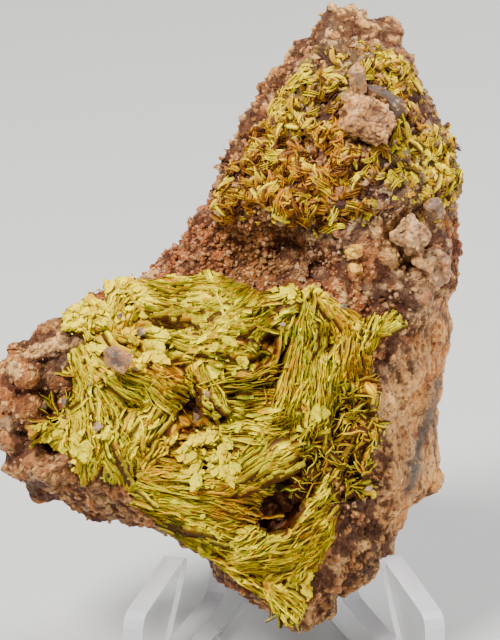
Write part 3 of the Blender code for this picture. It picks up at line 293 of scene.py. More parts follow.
CRUST_FLAKE_SPOTS = [
    (5.4, 78.4, 2.4, 1.0), (7.4, 74.4, 2.4, 1.0), (19.4, 82.4, 2.0, 0.9), (22.0, 78.6, 1.8, 0.9),
    (25.2, 69.4, 3.0, 1.0), (22.6, 69.0, 2.4, 1.0), (25.4, 65.2, 2.6, 1.0), (8.6, 62.0, 2.6, 0.35),
    (1.4, 61.0, 2.2, 0.3), (16.4, 61.6, 1.4, 0.8), (11.6, 80.8, 1.8, 0.7), (-4.6, 60.8, 1.4, 0.7),
    (27.6, 64.0, 1.4, 0.8), (14.6, 78.2, 1.6, 0.6), (4.0, 67.0, 4.0, 0.12), (17.0, 83.0, 1.6, 0.6),
    (12.0, 66.0, 4.0, 0.12), (28.2, 60.6, 1.2, 0.5),
]
CRUST_GRAIN_SPOTS = [
    (18.6, 64.4, 3.0, 1.0), (10.0, 68.0, 9.0, 0.30), (20.0, 74.0, 5.0, 0.8), (8.0, 78.0, 5.0, 0.5),
    (24.0, 61.0, 4.0, 1.0), (15.0, 82.0, 5.0, 0.9), (0.0, 63.0, 4.0, 0.5), (12.0, 60.0, 5.0, 0.9),
    (10.4, 77.0, 3.0, 0.9), (16.0, 71.0, 3.0, 0.6), (28.0, 74.0, 3.0, 0.8),
]
FAN_FLAKE_SPOTS = [
    (-24.4, 44.6, 1.6, 0.9), (-22.4, 41.0, 1.4, 0.8), (-19.0, 48.0, 2.4, 0.35), (-14.6, 48.6, 2.4, 0.2),
    (-16.0, 43.6, 2.6, 0.3), (-5.0, 27.0, 2.0, 0.5), (-23.4, 27.6, 1.6, 0.7), (7.2, 50.0, 1.6, 0.6),
    (-9.0, 48.0, 2.6, 0.15), (-5.6, 14.6, 1.8, 0.2), (5.4, 3.8, 1.8, 0.5), (17.6, 43.4, 2.0, 0.4),
    (9.2, 32.0, 1.4, 0.25), (-28.4, 30.6, 1.8, 0.9),
]
SLAB_SPOTS = [
    (-5.2, 27.6, 1.9, 1.0), (-3.8, 25.2, 1.4, 1.0), (-6.4, 25.4, 1.2, 0.9), (-24.2, 27.8, 1.2, 0.8),
    (-24.6, 44.0, 1.2, 0.8),
    (-12.8, 41.2, 1.0, 0.7), (-4.0, 41.4, 1.4, 0.5), (9.2, 31.6, 1.0, 0.6), (-1.0, 41.0, 1.2, 0.5),
]


def tint(name, description, code):
    """A colour that a user may change, from its six-digit screen code."""
    channels = [int(code[place:place + 2], 16) / 255 for place in (0, 2, 4)]
    shares = [c / 12.92 if c <= 0.04045 else ((c + 0.055) / 1.055) ** 2.4 for c in channels]
    return FloatVectorProperty(
        name=name, description=description, subtype="COLOR", size=3, min=0, max=1, default=shares)


def size_setting(name, description, size, least=0.0):
    """A length that a user may change, given in millimetres."""
    return FloatProperty(
        name=name, description=description, default=size * MM, min=least * MM, unit="LENGTH",
        precision=5)


def density_setting(name, things, default):
    """How many things grow on a square millimetre, for a user to change."""
    return FloatProperty(
        name=name, description=things + " on a square millimetre", default=default, min=0.0)


class SpecimenColours(bpy.types.PropertyGroup):
    """Colours of the minerals."""

    cream: tint("Cream", "Palest autunite plates", "eedc04")
    yellow: tint("Yellow", "Bright autunite plates", "ead400")
    lime: tint("Lime", "Most of the autunite plates", "d0c800")
    olive: tint("Olive", "Shaded autunite plates", "706600")
    green: tint("Green", "Darkest green autunite", "3c5400")
    gold: tint("Gold", "Golden blades", "d8a400")
    amber: tint("Amber", "Iron-stained autunite", "b4680a")
    # umber is also laid as painted shade at the roots of plates and blades, in hollows, in the rock's
    # crevices and in the fillings' low places
    umber: tint("Umber", "Dark filling between the plates", "381000")
    pale: tint("Pale", "Pale quartz and feldspar", "d8a868")
    pink: tint("Pink", "Pinkish feldspar", "b8804a")
    tan: tint("Tan", "Weathered rock", "a87844")
    clay: tint("Clay", "Brown drusy rock", "90602e")
    ochre: tint("Ochre", "Orange rim of the rock", "d0863c")
    rust: tint("Rust", "Iron-stained rock", "9c5628")
    sienna: tint("Sienna", "Red-brown rock", "74401e")
    dark: tint("Dark", "Dark pitted rock", "46280f")
    grey: tint("Grey", "Grey quartz", "94795a")
    slate: tint("Slate", "Dark grey vein", "504a44")


class SpecimenSizes(bpy.types.PropertyGroup):
    """Sizes and counts of what grows on the stone."""

    rock_voxel: size_setting("Rock detail", "Finest shape of the rock's skin", 0.43, 0.2)
    lump_height: size_setting("Lump height", "How far the rock's grains stand out", 1.15)
    plate_thickness: size_setting("Plate thickness", "Thickness of an autunite plate", 0.125, 0.05)
    plate_depth: size_setting("Plate depth", "Reach of a plate below its upper edge", 2.0, 0.5)
    stray_plates: IntProperty(
        name="Stray plates", description="Plates that lie across the books", default=260, min=0)
    druse_density: density_setting("Druse density", "Quartz points", 2.2)
    blade_density: density_setting("Blade density", "Tufts of blades", 2.6)
    flake_density: density_setting("Flake density", "Loose flakes", 0.8)


class Socket:
    """An output of a node that can stand in an expression with numbers and other sockets."""

    def __init__(self, tree, output):
        self.tree = tree
        self.output = output

    def math(self, operation, *values):
        """A Math node on the given values."""
        return self.tree.node("ShaderNodeMath", {"operation": operation}, dict(enumerate(values)))

    def __add__(self, other):
        return self.math("ADD", self, other)

    def __radd__(self, other):
        return self.math("ADD", other, self)

    def __sub__(self, other):
        return self.math("SUBTRACT", self, other)

    def __rsub__(self, other):
        return self.math("SUBTRACT", other, self)

    def __mul__(self, other):
        return self.math("MULTIPLY", self, other)

    def __rmul__(self, other):
        return self.math("MULTIPLY", other, self)

    def __pow__(self, other):
        return self.math("POWER", self, other)

    def __rpow__(self, other):
        return self.math("POWER", other, self)

    def between(self, low, high):
        """0 below the low value, 1 above the high one, smooth in between."""
        return self.tree.node(
            "ShaderNodeMapRange", {"interpolation_type": "SMOOTHSTEP"},
            {"Value": self, "From Min": low, "From Max": high})


class Tree:
    """A node tree that is built from top to bottom."""

    def __init__(self, tree):
        self.tree = tree

    def feed(self, socket, value):
        """Links a node's socket to another one, or sets its value."""
        if isinstance(value, Socket):
            self.tree.links.new(value.output, socket)
        else:
            socket.default_value = value

    def node(self, kind, settings=None, values=None, out=0):
        """Adds a node: its settings first, then the values or links of its sockets."""
        made = self.tree.nodes.new(kind)
        for key, value in (settings or {}).items():
            setattr(made, key, value)
        for key, value in (values or {}).items():
            self.feed(made.inputs[key], value)
        return Socket(self, made.outputs[out]) if made.outputs else made

    def other(self, socket, name):
        """Another output of the node that a socket belongs to."""
        return Socket(self, socket.output.node.outputs[name])

    def mix(self, share, first, second, blend="MIX"):
        """Mixes two colours."""
        values = {0: share, 6: first, 7: second}
        values = {key: (*v, 1.0) if isinstance(v, tuple) and len(v) == 3 else v
                  for key, v in values.items()}
        return self.node("ShaderNodeMix", {"data_type": "RGBA", "blend_type": blend}, values, out=2)


class Finish(Tree):
    """A material with one principled shader, whose colours are laid over a base in turn."""

    def __init__(self, name, painted=True):
        self.material = bpy.data.materials.new(name)
        self.material.use_nodes = True
        super().__init__(self.material.node_tree)
        self.shader = self.tree.nodes["Principled BSDF"]
        self.place = self.node("ShaderNodeTexCoord", out="Object")
        self.base = self.attribute("tint", "Color") if painted else None

    def set(self, **values):
        """Feeds the shader's sockets, with spaces in their names written as underscores."""
        for key, value in {"Base_Color": self.base, **values}.items():
            self.feed(self.shader.inputs[key.replace("_", " ")], value)
        return self.material

    def lay(self, colour, share, blend="MIX"):
        """Lays a colour of the specimen over the base, as far as the share says."""
        self.base = self.mix(share, self.base, palette(colour), blend)

    def above(self, colour, mask, low, high, share, blend="MIX"):
        """Lays a colour where a mask rises from the low value to the high one."""
        self.lay(colour, mask.between(low, high) * share, blend)

    def below(self, colour, mask, low, high, share):
        """Lays a colour where a mask falls from the high value to the low one."""
        self.lay(colour, (1 - mask.between(low, high)) * share)

    def attribute(self, name, out="Fac"):
        """A value or colour that is stored on the mesh."""
        return self.node("ShaderNodeAttribute", {"attribute_name": name}, out=out)

    def cells(self, size, out="Distance", feature="F1"):
        """Grains of about the given size."""
        return self.node(
            "ShaderNodeTexVoronoi", {"feature": feature},
            {"Vector": self.place, "Scale": 1.0 / size}, out=out)

    def speckle(self, size):
        """A random value for every grain of about the given size."""
        return self.node("ShaderNodeSeparateColor", {}, {0: self.cells(size, "Color")})

    def cloud(self, size, detail=3.0, place=None):
        """Soft noise of about the given size, around 0.5."""
        return self.node(
            "ShaderNodeTexNoise", {},
            {"Vector": place or self.place, "Scale": 1.0 / size, "Detail": detail})

    def stretched(self, place, scale, turn=(0.0, 0.0, 0.0)):
        """Places that are scaled along their axes, and then turned."""
        return self.node(
            "ShaderNodeMapping", {}, {"Vector": place, "Rotation": turn, "Scale": scale})

    def bump(self, height, depth, strength=1.0):
        """A normal that follows a height, whose full range is the given depth."""
        return self.node(
            "ShaderNodeBump", {}, {"Strength": strength, "Distance": depth, "Height": height})


def palette(name):
    """A colour of the specimen, by its name."""
    return tuple(getattr(bpy.context.scene.specimen_colours, name))


def to_world(across, up, out):
    """Points of the stone's frame, in millimetres, as places in the scene."""
    local = np.stack([across, -out, up], axis=-1) * MM
    return local @ TURN.T + ORIGIN


def to_stone(points):
    """The stone's across, up and out, in millimetres, of places in the scene."""
    local = (points - ORIGIN) @ TURN / MM
    return local[..., 0], local[..., 2], -local[..., 1]


def ahead(across, up, turn, distance):
    """The place at a distance in a direction of the face, in radians."""
    return across + distance * math.cos(turn), up + distance * math.sin(turn)


def bell(across, up, spot, width=2.0):
    """A smooth rise to 1 at the middle of a round spot."""
    a, b, radius = spot[:3]
    return np.exp(-((across - a) ** 2 + (up - b) ** 2) / (width * radius ** 2))


def painted(across, up, spots):
    """The colour that a table of spots gives each place, blended from one spot to the next."""
    places = np.array([spot[:3] for spot in spots], float)
    squares = (across[:, None] - places[:, 0]) ** 2 + (up[:, None] - places[:, 1]) ** 2
    weights = np.exp(-squares / (2 * places[:, 2] ** 2)) + 1e-4 / (1.0 + squares) ** 2
    weights /= weights.sum(axis=1, keepdims=True)
    return weights @ np.array([palette(spot[3]) for spot in spots], float)


def share_at(across, up, spots):
    """How thick something grows at each place, with nothing far from every spot."""
    return np.clip(sum(spot[3] * bell(across, up, spot) for spot in spots), 0.0, 1.0)


def beside_line(across, up, line):
    """The distance of each place from a bent line on the face."""
    distances = []
    for (a, b), (c, d) in zip(line, line[1:]):
        length = math.hypot(c - a, d - b)
        x = (c - a) / length
        y = (d - b) / length
        along = np.clip((across - a) * x + (up - b) * y, 0.0, length)
        distances.append(np.hypot(across - a - along * x, up - b - along * y))
    return np.min(distances, axis=0)


def ripple(across, up, size, seed):
    """Smooth waves over the face, between -1 and 1, the same on every run."""
    draw = np.random.default_rng(seed)
    waves = 5
    total = np.zeros_like(across)
    for _ in range(waves):
        turn, phase = draw.uniform(0, 2 * math.pi, 2)
        pitch = 2 * math.pi / (size * draw.uniform(0.7, 1.4))
        total = total + np.sin((across * math.cos(turn) + up * math.sin(turn)) * pitch + phase)
    return total / waves


def mesh_of(name, points, faces):
    """A mesh from arrays of points and of four-cornered faces."""
    mesh = bpy.data.meshes.new(name)
    mesh.from_pydata(points.reshape(-1, 3).tolist(), [], faces.tolist())
    mesh.update()
    return mesh


def outward(bm, mesh):
    """Writes a bmesh to a mesh, with the faces of its closed shells turned outwards."""
    bmesh.ops.recalc_face_normals(bm, faces=bm.faces[:])
    bm.to_mesh(mesh)
    bm.free()
    return mesh


def closed_mesh(name, bm):
    """A new mesh from a bmesh whose faces are turned outwards."""
    return outward(bm, bpy.data.meshes.new(name))


def turned_out(mesh):
    """A mesh whose faces are turned outwards in place."""
    bm = bmesh.new()
    bm.from_mesh(mesh)
    return outward(bm, mesh)


def store(mesh, name, values):
    """Keeps a number, vector or colour for every vertex."""
    values = np.asarray(values, np.float32)
    if values.ndim == 1:
        layer = mesh.attributes.new(name, "FLOAT", "POINT")
        layer.data.foreach_set("value", values)
        return
    layer = mesh.attributes.new(name, "FLOAT_COLOR", "POINT")
    layer.data.foreach_set("color", np.hstack([values, np.ones((len(values), 1))]).ravel())


def points_of(mesh):
    """The places of a mesh's vertices."""
    values = np.empty(len(mesh.vertices) * 3)
    mesh.vertices.foreach_get("co", values)
    return values.reshape(-1, 3)


def normals_of(mesh):
    """The directions that a mesh's vertices face."""
    values = np.empty(len(mesh.vertices) * 3, np.float32)
    mesh.vertex_normals.foreach_get("vector", values)
    return values.reshape(-1, 3).astype(float)


def move_points(mesh, points):
    """Moves a mesh's vertices to new places."""
    mesh.vertices.foreach_set("co", points.ravel())
    mesh.update()


def stain(mesh):
    """Paints a mesh with the rock's colours."""
    across, up, _ = to_stone(points_of(mesh))
    store(mesh, "tint", painted(across, up, ROCK_PAINT))


def dress(mesh, *finishes):
    """Gives a mesh its materials, and no others."""
    mesh.materials.clear()
    for finish in finishes:
        mesh.materials.append(finish)


def new_piece(name, mesh, finish=None, smooth=True):
    """An object for a mesh, linked to the scene."""
    piece = bpy.data.objects.new(name, mesh)
    bpy.context.scene.collection.objects.link(piece)
    if finish:
        dress(mesh, finish)
    if smooth:
        mesh.shade_smooth()
    else:
        mesh.shade_flat()
    return piece


def settle(piece):
    """Turns an object and its modifiers into a plain mesh."""
    bpy.context.view_layer.update()
    graph = bpy.context.evaluated_depsgraph_get()
    result = bpy.data.meshes.new_from_object(piece.evaluated_get(graph), depsgraph=graph)
    piece.modifiers.clear()
    old = piece.data
    piece.data = result
    bpy.data.meshes.remove(old)
    return result


def shaped(piece, kind, **settings):
    """The mesh of a piece once a modifier with the given settings is applied."""
    modifier = piece.modifiers.new(kind.lower(), kind)
    for key, value in settings.items():
        setattr(modifier, key, value)
    return settle(piece)


def merged_copy(node):
    """A copy of a solid's mesh whose loose triangles are joined."""
    bm = bmesh.new()
    bm.from_mesh(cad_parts[node].data)
    bmesh.ops.remove_doubles(bm, verts=bm.verts[:], dist=1e-6)
    mesh = bpy.data.meshes.new(node + "_copy")
    bm.to_mesh(mesh)
    bm.free()
    return mesh


def hand_in(piece, slot, *nodes):
    """Lets a finished piece ride on the stone's body, in place of the named solids."""
    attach(piece, "root")
    if nodes:
        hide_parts(*nodes)


def tree_of(node):
    """A solid of the frame, ready for casting rays at it."""
    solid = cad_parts[node]
    corners = [solid.matrix_world @ vertex.co for vertex in solid.data.vertices]
    return BVHTree.FromPolygons(corners, [tuple(face.vertices) for face in solid.data.polygons])


class Relief:
    """How far a solid stands out of the stone's face, on a grid, in millimetres."""

    STEP = 0.45
    ACROSS = np.arange(-38.0, 34.0, STEP)
    UP = np.arange(-1.5, 93.5, STEP)
    AHEAD = 60.0                   # rays start this far in front of the face or behind it

    def __init__(self, node, behind=False):
        tree = tree_of(node)
        way = -1 if behind else 1
        heading = STONE_TURN @ Vector((0, way, 0))
        across, up = np.meshgrid(self.ACROSS, self.UP)
        starts = to_world(across, up, np.full_like(across, self.AHEAD * way))
        self.out = np.full(across.shape, HIDDEN)
        for place in np.ndindex(across.shape):
            distance = tree.ray_cast(Vector(starts[place]), heading)[3]
            if distance is not None:
                self.out[place] = (self.AHEAD - distance / MM) * way

    @classmethod
    def of(cls, values):
        """A relief with the given values on the same grid."""
        made = object.__new__(cls)
        made.out = np.array(values, float)
        return made

    def spread(self, passes):
        """The relief carried on past its edges, from neighbour to neighbour."""
        out = self.out.copy()
        for _ in range(passes):
            known = out > HIDDEN
            total = np.zeros_like(out)
            count = np.zeros_like(out)
            for axis, step in ((0, 1), (0, -1), (1, 1), (1, -1)):
                near = np.roll(known, step, axis)
                total += np.where(near, np.roll(out, step, axis), 0.0)
                count += near
            fresh = ~known & (count > 0)
            out[fresh] = total[fresh] / count[fresh]
        return Relief.of(out)

    def soften(self, passes):
        """A smoother relief, where only places that were hit count."""
        known = (self.out > HIDDEN).astype(float)
        total = np.where(known > 0, self.out, 0.0)
        for _ in range(passes):
            for axis in (0, 1):
                total = (total + np.roll(total, 1, axis) + np.roll(total, -1, axis)) / 3
                known = (known + np.roll(known, 1, axis) + np.roll(known, -1, axis)) / 3
        return Relief.of(np.where(known > 0.02, total / np.maximum(known, 1e-6), HIDDEN))

    def at(self, across, up):
        """The relief at any places, between the grid's points."""
        column = np.clip((across - self.ACROSS[0]) / self.STEP, 0, len(self.ACROSS) - 1.001)
        row = np.clip((up - self.UP[0]) / self.STEP, 0, len(self.UP) - 1.001)
        left = column.astype(int)
        low = row.astype(int)
        x = column - left
        y = row - low
        bottom = self.out[low, left] * (1 - x) + self.out[low, left + 1] * x
        top = self.out[low + 1, left] * (1 - x) + self.out[low + 1, left + 1] * x
        return bottom * (1 - y) + top * y


def sheet_over(name, relief, rear, covered, paint, step=Relief.STEP, form=None, **shares):
    """A closed thick sheet over the covered part of the face, painted from spots.

    One relief gives its upper side, one its lower side and one where it lies. A form adds to the
    upper side. Further tables of spots are stored as attributes of their names.
    """
    across, up = np.meshgrid(np.arange(Relief.ACROSS[0], Relief.ACROSS[-1], step),
                             np.arange(Relief.UP[0], Relief.UP[-1], step))
    kept = covered.at(across, up) > 0.5
    cells = kept[:-1, :-1] & kept[:-1, 1:] & kept[1:, 1:] & kept[1:, :-1]
    index = np.arange(across.size).reshape(across.shape)
    tops = np.stack([index[:-1, :-1], index[:-1, 1:], index[1:, 1:], index[1:, :-1]], -1)[cells]
    sides = {}
    for face in tops.tolist():
        for start, end in zip(face, face[1:] + face[:1]):
            if (end, start) in sides:
                del sides[(end, start)]
            else:
                sides[(start, end)] = True
    count = across.size
    walls = [[end, start, start + count, end + count] for start, end in sides]
    faces = np.concatenate([tops, tops[:, ::-1] + count, np.array(walls)])
    used, faces = np.unique(faces, return_inverse=True)
    front = used < count
    across = across.ravel()[used % count]
    up = up.ravel()[used % count]
    upper = relief.at(across, up)
    lower = np.minimum(rear.at(across, up), upper - LEAST_SHEET)
    level = np.ones_like(across)
    if form:
        rise, level, strand = form(across, up)
        upper = upper + rise
    points = to_world(across, up, np.where(front, upper, lower))
    mesh = mesh_of(name, points, faces.reshape(-1, 4))
    store(mesh, "tint", painted(across, up, paint))
    for key, spots in shares.items():
        store(mesh, key, share_at(across, up, spots) * front * level)
    if form:
        store(mesh, "strand", strand)
        # the finishes paint shade where the level is low; the walls and underside get a middling level,
        # so they come out somewhat darker
        store(mesh, "level", np.where(front, level, 0.6))
    return mesh


def plate_faces(stations, levels):
    """Faces of one closed plate, on its grid of stations, levels and two sides."""
    index = np.arange(stations * levels * 2).reshape(stations, levels, 2)
    faces = []
    for s in range(stations - 1):
        for level in range(levels - 1):
            ring = [(s, level), (s + 1, level), (s + 1, level + 1), (s, level + 1)]
            faces.append([index[a, b, 0] for a, b in ring])
            faces.append([index[a, b, 1] for a, b in ring[::-1]])
        for level, way in ((levels - 1, 1), (0, -1)):
            ring = [(s, 0), (s + 1, 0), (s + 1, 1), (s, 1)][::way]
            faces.append([index[a, level, b] for a, b in ring])
    for level in range(levels - 1):
        for s, way in ((0, 1), (stations - 1, -1)):
            ring = [(level, 0), (level + 1, 0), (level + 1, 1), (level, 1)][::way]
            faces.append([index[s, a, b] for a, b in ring])
    return np.array(faces)


class PlateList:
    """Plates that stand on the stone's face, gathered one by one and turned into one mesh."""

    STATIONS = 6
    LEVELS = 2
    STRAY_TINTS = {
        "cream": 0.14, "yellow": 0.34, "lime": 0.18, "olive": 0.08, "amber": 0.18, "green": 0.08}

    def __init__(self, seed):
        self.rows = []
        self.draw = np.random.default_rng(seed)

    def part(self, above, height):
        """The plates above or below a height of the face, as a list of their own."""
        kept = [row for row in self.rows if (row[1] > height) == above]
        made = PlateList(len(kept))
        made.rows = kept
        return made

    def add(self, across, up, heading, length, lift, depth, lean, curl=0.0, colour=None, tone=0.0):
        """Adds a plate from its near end, its heading and lean in radians."""
        tone = tone or self.draw.uniform(0.6, 1.3)
        self.rows.append((across, up, heading, length, lift, depth, lean, curl, tone, colour))

    def mesh(self, name, crest, thickness, ragged=1.0):
        """One mesh of closed plates whose upper edges follow the crest, more or less ragged.

        A plate that reaches past the crest's edge is left out.
        """
        draw = self.draw
        table = np.array([row[:-1] for row in self.rows])
        ends = [crest.at(table[:, 0] + share * table[:, 3] * np.cos(table[:, 2]),
                         table[:, 1] + share * table[:, 3] * np.sin(table[:, 2]))
                for share in (0.0, 0.5, 1.0)]
        kept = np.min(ends, axis=0) > HIDDEN / 2
        table = table[kept]
        count = len(table)
        across, up, heading, length, lift, depth, lean, curl, tone = table.T[:, :, None]
        t = np.linspace(0, 1, self.STATIONS)[None, :]
        along = length * t
        bow = length * curl / 2 * (t * t - t)
        x = across + along * np.cos(heading) - bow * np.sin(heading)
        y = up + along * np.sin(heading) + bow * np.cos(heading)
        warp = 0.35 * ragged
        x, y = x + warp * ripple(x, y, 5.0, 1), y + warp * ripple(x, y, 5.0, 2)
        edge = draw.uniform(-0.50, 0.20, (count, self.STATIONS))
        edge[:, 0] -= draw.uniform(0.1, 0.9, count)
        edge[:, -1] -= draw.uniform(0.1, 0.9, count)
        top = crest.at(x, y) + lift + edge * ragged
        level = np.linspace(0, 1, self.LEVELS)[None, None, :]
        lean = np.clip(lean, -1.25, 1.25)
        sunk = depth[:, :, None] * (1 - level)
        out = top[:, :, None] - np.cos(lean)[:, :, None] * sunk
        wave = draw.uniform(0.03, 0.16, (count, 1)) * np.sin(
            t * draw.uniform(3, 9, (count, 1)) + draw.uniform(0, 6, (count, 1)))
        side = wave[:, :, None] - np.sin(lean)[:, :, None] * sunk
        side = side + 0.10 * ragged * draw.uniform(-1, 1, side.shape)
        half = np.array([1.0, 0.55]) * draw.uniform(0.35, 0.65, (count, 1, 1)) * thickness
        taper = 1.0 - 0.45 * (2 * t - 1) ** 4
        half = half * taper[:, :, None]
        reach = np.stack([side - half, side + half], axis=-1)
        turn = (heading + curl * (t - 0.5))[:, :, None, None]
        points = to_world(x[:, :, None, None] - np.sin(turn) * reach,
                          y[:, :, None, None] + np.cos(turn) * reach,
                          np.broadcast_to(out[..., None], reach.shape))
        size = self.STATIONS * self.LEVELS * 2
        faces = plate_faces(self.STATIONS, self.LEVELS)
        faces = (faces[None] + size * np.arange(count)[:, None, None]).reshape(-1, 4)
        mesh = mesh_of(name, points, faces)
        middle = self.STATIONS // 2
        tones = painted(x[:, middle], y[:, middle], FAN_PAINT)
        colours = [row[-1] for row, stays in zip(self.rows, kept) if stays]
        for k, colour in enumerate(colours):
            if colour:
                tones[k] = tones[k] * 0.35 + 0.65 * np.array(palette(colour))
        names = list(self.STRAY_TINTS)
        picks = draw.choice(len(names), count, p=list(self.STRAY_TINTS.values()))
        stray = np.array([palette(name) for name in names])[picks]
        share = draw.uniform(0.0, 0.65, (count, 1)) ** 1.4
        tones = tones * (1 - share) + stray * share
        # painted shade: plates that stand lower are darker and those that stand higher lighter; tone is
        # the random tone of their bundle
        tones = tones * np.clip(1.0 + 0.30 * lift, 0.5, 1.2) * tone
        store(mesh, "tint", np.repeat(np.clip(tones, 0, 1), size, axis=0))
        strand = np.empty((count, self.STATIONS, self.LEVELS, 2, 3))
        strand[..., 0] = along[:, :, None, None] + draw.uniform(0, 90, (count, 1, 1, 1))
        strand[..., 1] = (depth[:, :, None] * level)[..., None]
        strand[..., 2] = draw.uniform(0, 50, (count, 1, 1, 1))
        store(mesh, "strand", strand.reshape(-1, 3))
        store(mesh, "level", np.broadcast_to(level[..., None], reach.shape).ravel())
        return turned_out(mesh)


def growth(node, ground, height):
    """What a solid shows in front of the rock: its relief, and where it covers the face.

    Past its edges the relief sinks to the given height over the rock.
    """
    mass = Relief(node)
    covered = (mass.out > ground) & (mass.out > HIDDEN)
    mass.out[~covered] = HIDDEN
    crest = mass.spread(12)
    beside = mass.spread(2).out > HIDDEN
    rock = (ground > HIDDEN) & ~beside
    crest.out[rock] = np.minimum(crest.out, ground + height)[rock]
    return crest.soften(2), covered


def in_hollow(across, up):
    """Whether a place of the face lies in one of the dark hollows."""
    return any(math.hypot(across - a, up - b) < radius for a, b, radius, _ in HOLLOWS)


def book_lifts():
    """How far each book stands over the others, in millimetres."""
    return np.random.default_rng(11).uniform(-BOOK_STEP, BOOK_STEP, len(BOOKS))


def book_tilt(book, draw):
    """How far a book's plates lean: to either side, and towards the centre if far from it."""
    across, up, heading, _, length, _, curl, lean, _ = book
    tilt = math.radians(lean) * (1 if draw.random() < 0.5 else -1)
    aim = math.radians(heading + curl / 2)
    x, y = ahead(across, up, aim, length / 2)
    off_x = CENTRE[0] - x
    off_y = CENTRE[1] - y
    if math.hypot(off_x, off_y) < CENTRE_REACH:
        return tilt
    return math.copysign(tilt, off_x * math.sin(aim) - off_y * math.cos(aim))


def grow_books(plates, inside, depth):
    """Fills every book with rows of broken plates that spread from its root, in bundles."""
    draw = plates.draw
    for book, lift in zip(BOOKS, book_lifts()):
        across, up, heading, spread, length, root, curl, lean, pitch = book
        half = root + 0.5 * length * math.tan(math.radians(spread) / 2)
        rows = max(4, int(2 * half / (pitch * PITCH_SHARE)))
        square = math.radians(heading) + math.pi / 2
        tilt = book_tilt(book, draw)
        left = 0
        for row in range(rows):
            if left == 0:
                left = draw.integers(3, 11)
                height = lift + draw.uniform(-0.75, 0.30)
                lean_here = tilt + draw.normal(0, 0.16)
                shift = draw.uniform(-0.14, 0.08) * length
                tone = draw.uniform(0.50, 1.35)
            left -= 1
            share = (row + draw.uniform(0.2, 0.8)) / rows * 2 - 1
            turn = math.radians(heading + share * spread / 2)
            start = ahead(across, up, square, root * share)
            place = shift + draw.uniform(-0.05, 0.05) * length
            reach = length * draw.uniform(0.80, 1.08)
            while place < reach - 1.0:
                piece = min(draw.uniform(2.2, 8.5), reach - place + 0.4)
                swing = math.radians(curl) * (place / length)
                near = ahead(*start, turn + swing / 2, place)
                middle = ahead(*near, turn, piece / 2)
                end = ahead(*near, turn, piece)
                place += piece * draw.uniform(0.60, 0.95)
                sunk = depth * draw.uniform(0.8, 1.15) * (1 - 0.45 * abs(math.sin(lean_here)))
                foot = ahead(*middle, turn - math.pi / 2, math.sin(lean_here) * sunk)
                shown = min(inside.at(*point) for point in (near, middle, end, foot))
                if shown < LEAST_INSIDE or any(in_hollow(*point) for point in (near, middle, end)):
                    continue
                plates.add(
                    *near, turn + swing + draw.normal(0, 0.03 + 0.0014 * lean), piece,
                    height + draw.uniform(-0.22, 0.22), sunk,
                    lean_here + draw.normal(0, 0.07), math.radians(curl) * piece / length,
                    tone=tone * draw.uniform(0.8, 1.15))


def nearest_book(across, up):
    """The number of the book that is nearest to each place."""
    books = np.array(BOOKS)
    turn = np.radians(books[:, 2])
    x = np.asarray(across)[..., None] - books[:, 0]
    y = np.asarray(up)[..., None] - books[:, 1]
    along = np.clip(x * np.cos(turn) + y * np.sin(turn), 0.0, books[:, 4])
    squares = (x - along * np.cos(turn)) ** 2 + (y - along * np.sin(turn)) ** 2
    return np.argmin(squares / (0.6 + books[:, 5]), axis=-1)


def laminated(across, up):
    """Wavy ridges along the nearest book: their rise, their level, which is low in their troughs and in
    the hollows where the finish paints shade, and how they run.
    """
    book = nearest_book(across, up)
    turn = np.radians(np.array(BOOKS)[book, 2])
    along = across * np.cos(turn) + up * np.sin(turn)
    beside = up * np.cos(turn) - across * np.sin(turn)
    rise = np.empty(len(across))
    for k, (x, y) in enumerate(zip(across, up)):
        beside[k] += 0.9 * noise.noise(Vector((x / 2.6, y / 2.6, 7.0)))
        rise[k] = 0.55 * noise.noise(Vector((x / 3.4, y / 3.4, 2.0)))
        rise[k] += 0.75 * noise.noise(Vector((along[k] / 4.5, beside[k] / 0.9, turn[k] * 3)))
    # painted shade: the level falls in the troughs and the hollows, and the finish lays umber where it
    # is low
    level = np.clip(0.94 + rise, 0.0, 1.0)
    for hollow in HOLLOWS:
        level *= 1 - 0.95 * bell(across, up, hollow, 1.6)
    return rise + book_lifts()[book], level, np.stack([along, beside, turn * 7], axis=-1)


def clustered(across, up):
    """Bumps in clusters with gaps between them: their rise, their level, low in the gaps where the
    finish paints shade, and their places.
    """
    rise = np.empty(len(across))
    for k, (x, y) in enumerate(zip(across, up)):
        rise[k] = 1.1 * noise.noise(Vector((x / 2.3, y / 2.3, 4.0)))
        rise[k] += 0.5 * noise.noise(Vector((x / 0.9, y / 0.9, 1.0)))
    # painted shade: a low level in the gaps, where the filling's finish lays umber
    level = np.clip(0.68 + 1.5 * rise, 0.0, 1.0)
    return rise, level, np.stack([across, up, rise], axis=-1)


def grow_strays(plates, covered, inside, count, depth):
    """Scatters single plates over the mass, roughly along the book below."""
    draw = plates.draw
    rows, columns = np.nonzero(covered)
    for _ in range(count):
        pick = draw.integers(len(rows))
        across = Relief.ACROSS[columns[pick]]
        up = Relief.UP[rows[pick]]
        turn = math.radians(BOOKS[nearest_book(across, up)][2]) + draw.normal(0, 0.35)
        length = draw.uniform(1.8, 4.4)
        end = inside.at(*ahead(across, up, turn, length))
        if in_hollow(across, up) or min(inside.at(across, up), end) < 0.75:
            continue
        plates.add(across, up, turn, length, draw.uniform(-0.3, 0.35), depth * 0.6,
                   draw.uniform(-0.9, 0.9), draw.normal(0, 0.2))


def grow_tangles(plates, inside):
    """Small narrow blades that point every way, with dark gaps between them."""
    draw = plates.draw
    for across, up, radius, count in TANGLES:
        for _ in range(count):
            turn = draw.uniform(0, 2 * math.pi)
            x, y = ahead(across, up, turn, radius * math.sqrt(draw.random()))
            if inside.at(x, y) < 0.4 or in_hollow(x, y) and draw.random() < 0.7:
                continue
            plates.add(x, y, draw.uniform(0, 2 * math.pi), draw.uniform(1.2, 3.4),
                       draw.uniform(-2.4, 0.4), draw.uniform(0.5, 1.4), draw.uniform(-1.1, 1.1),
                       draw.normal(0, 0.10), "umber" if draw.random() < 0.35 else None)


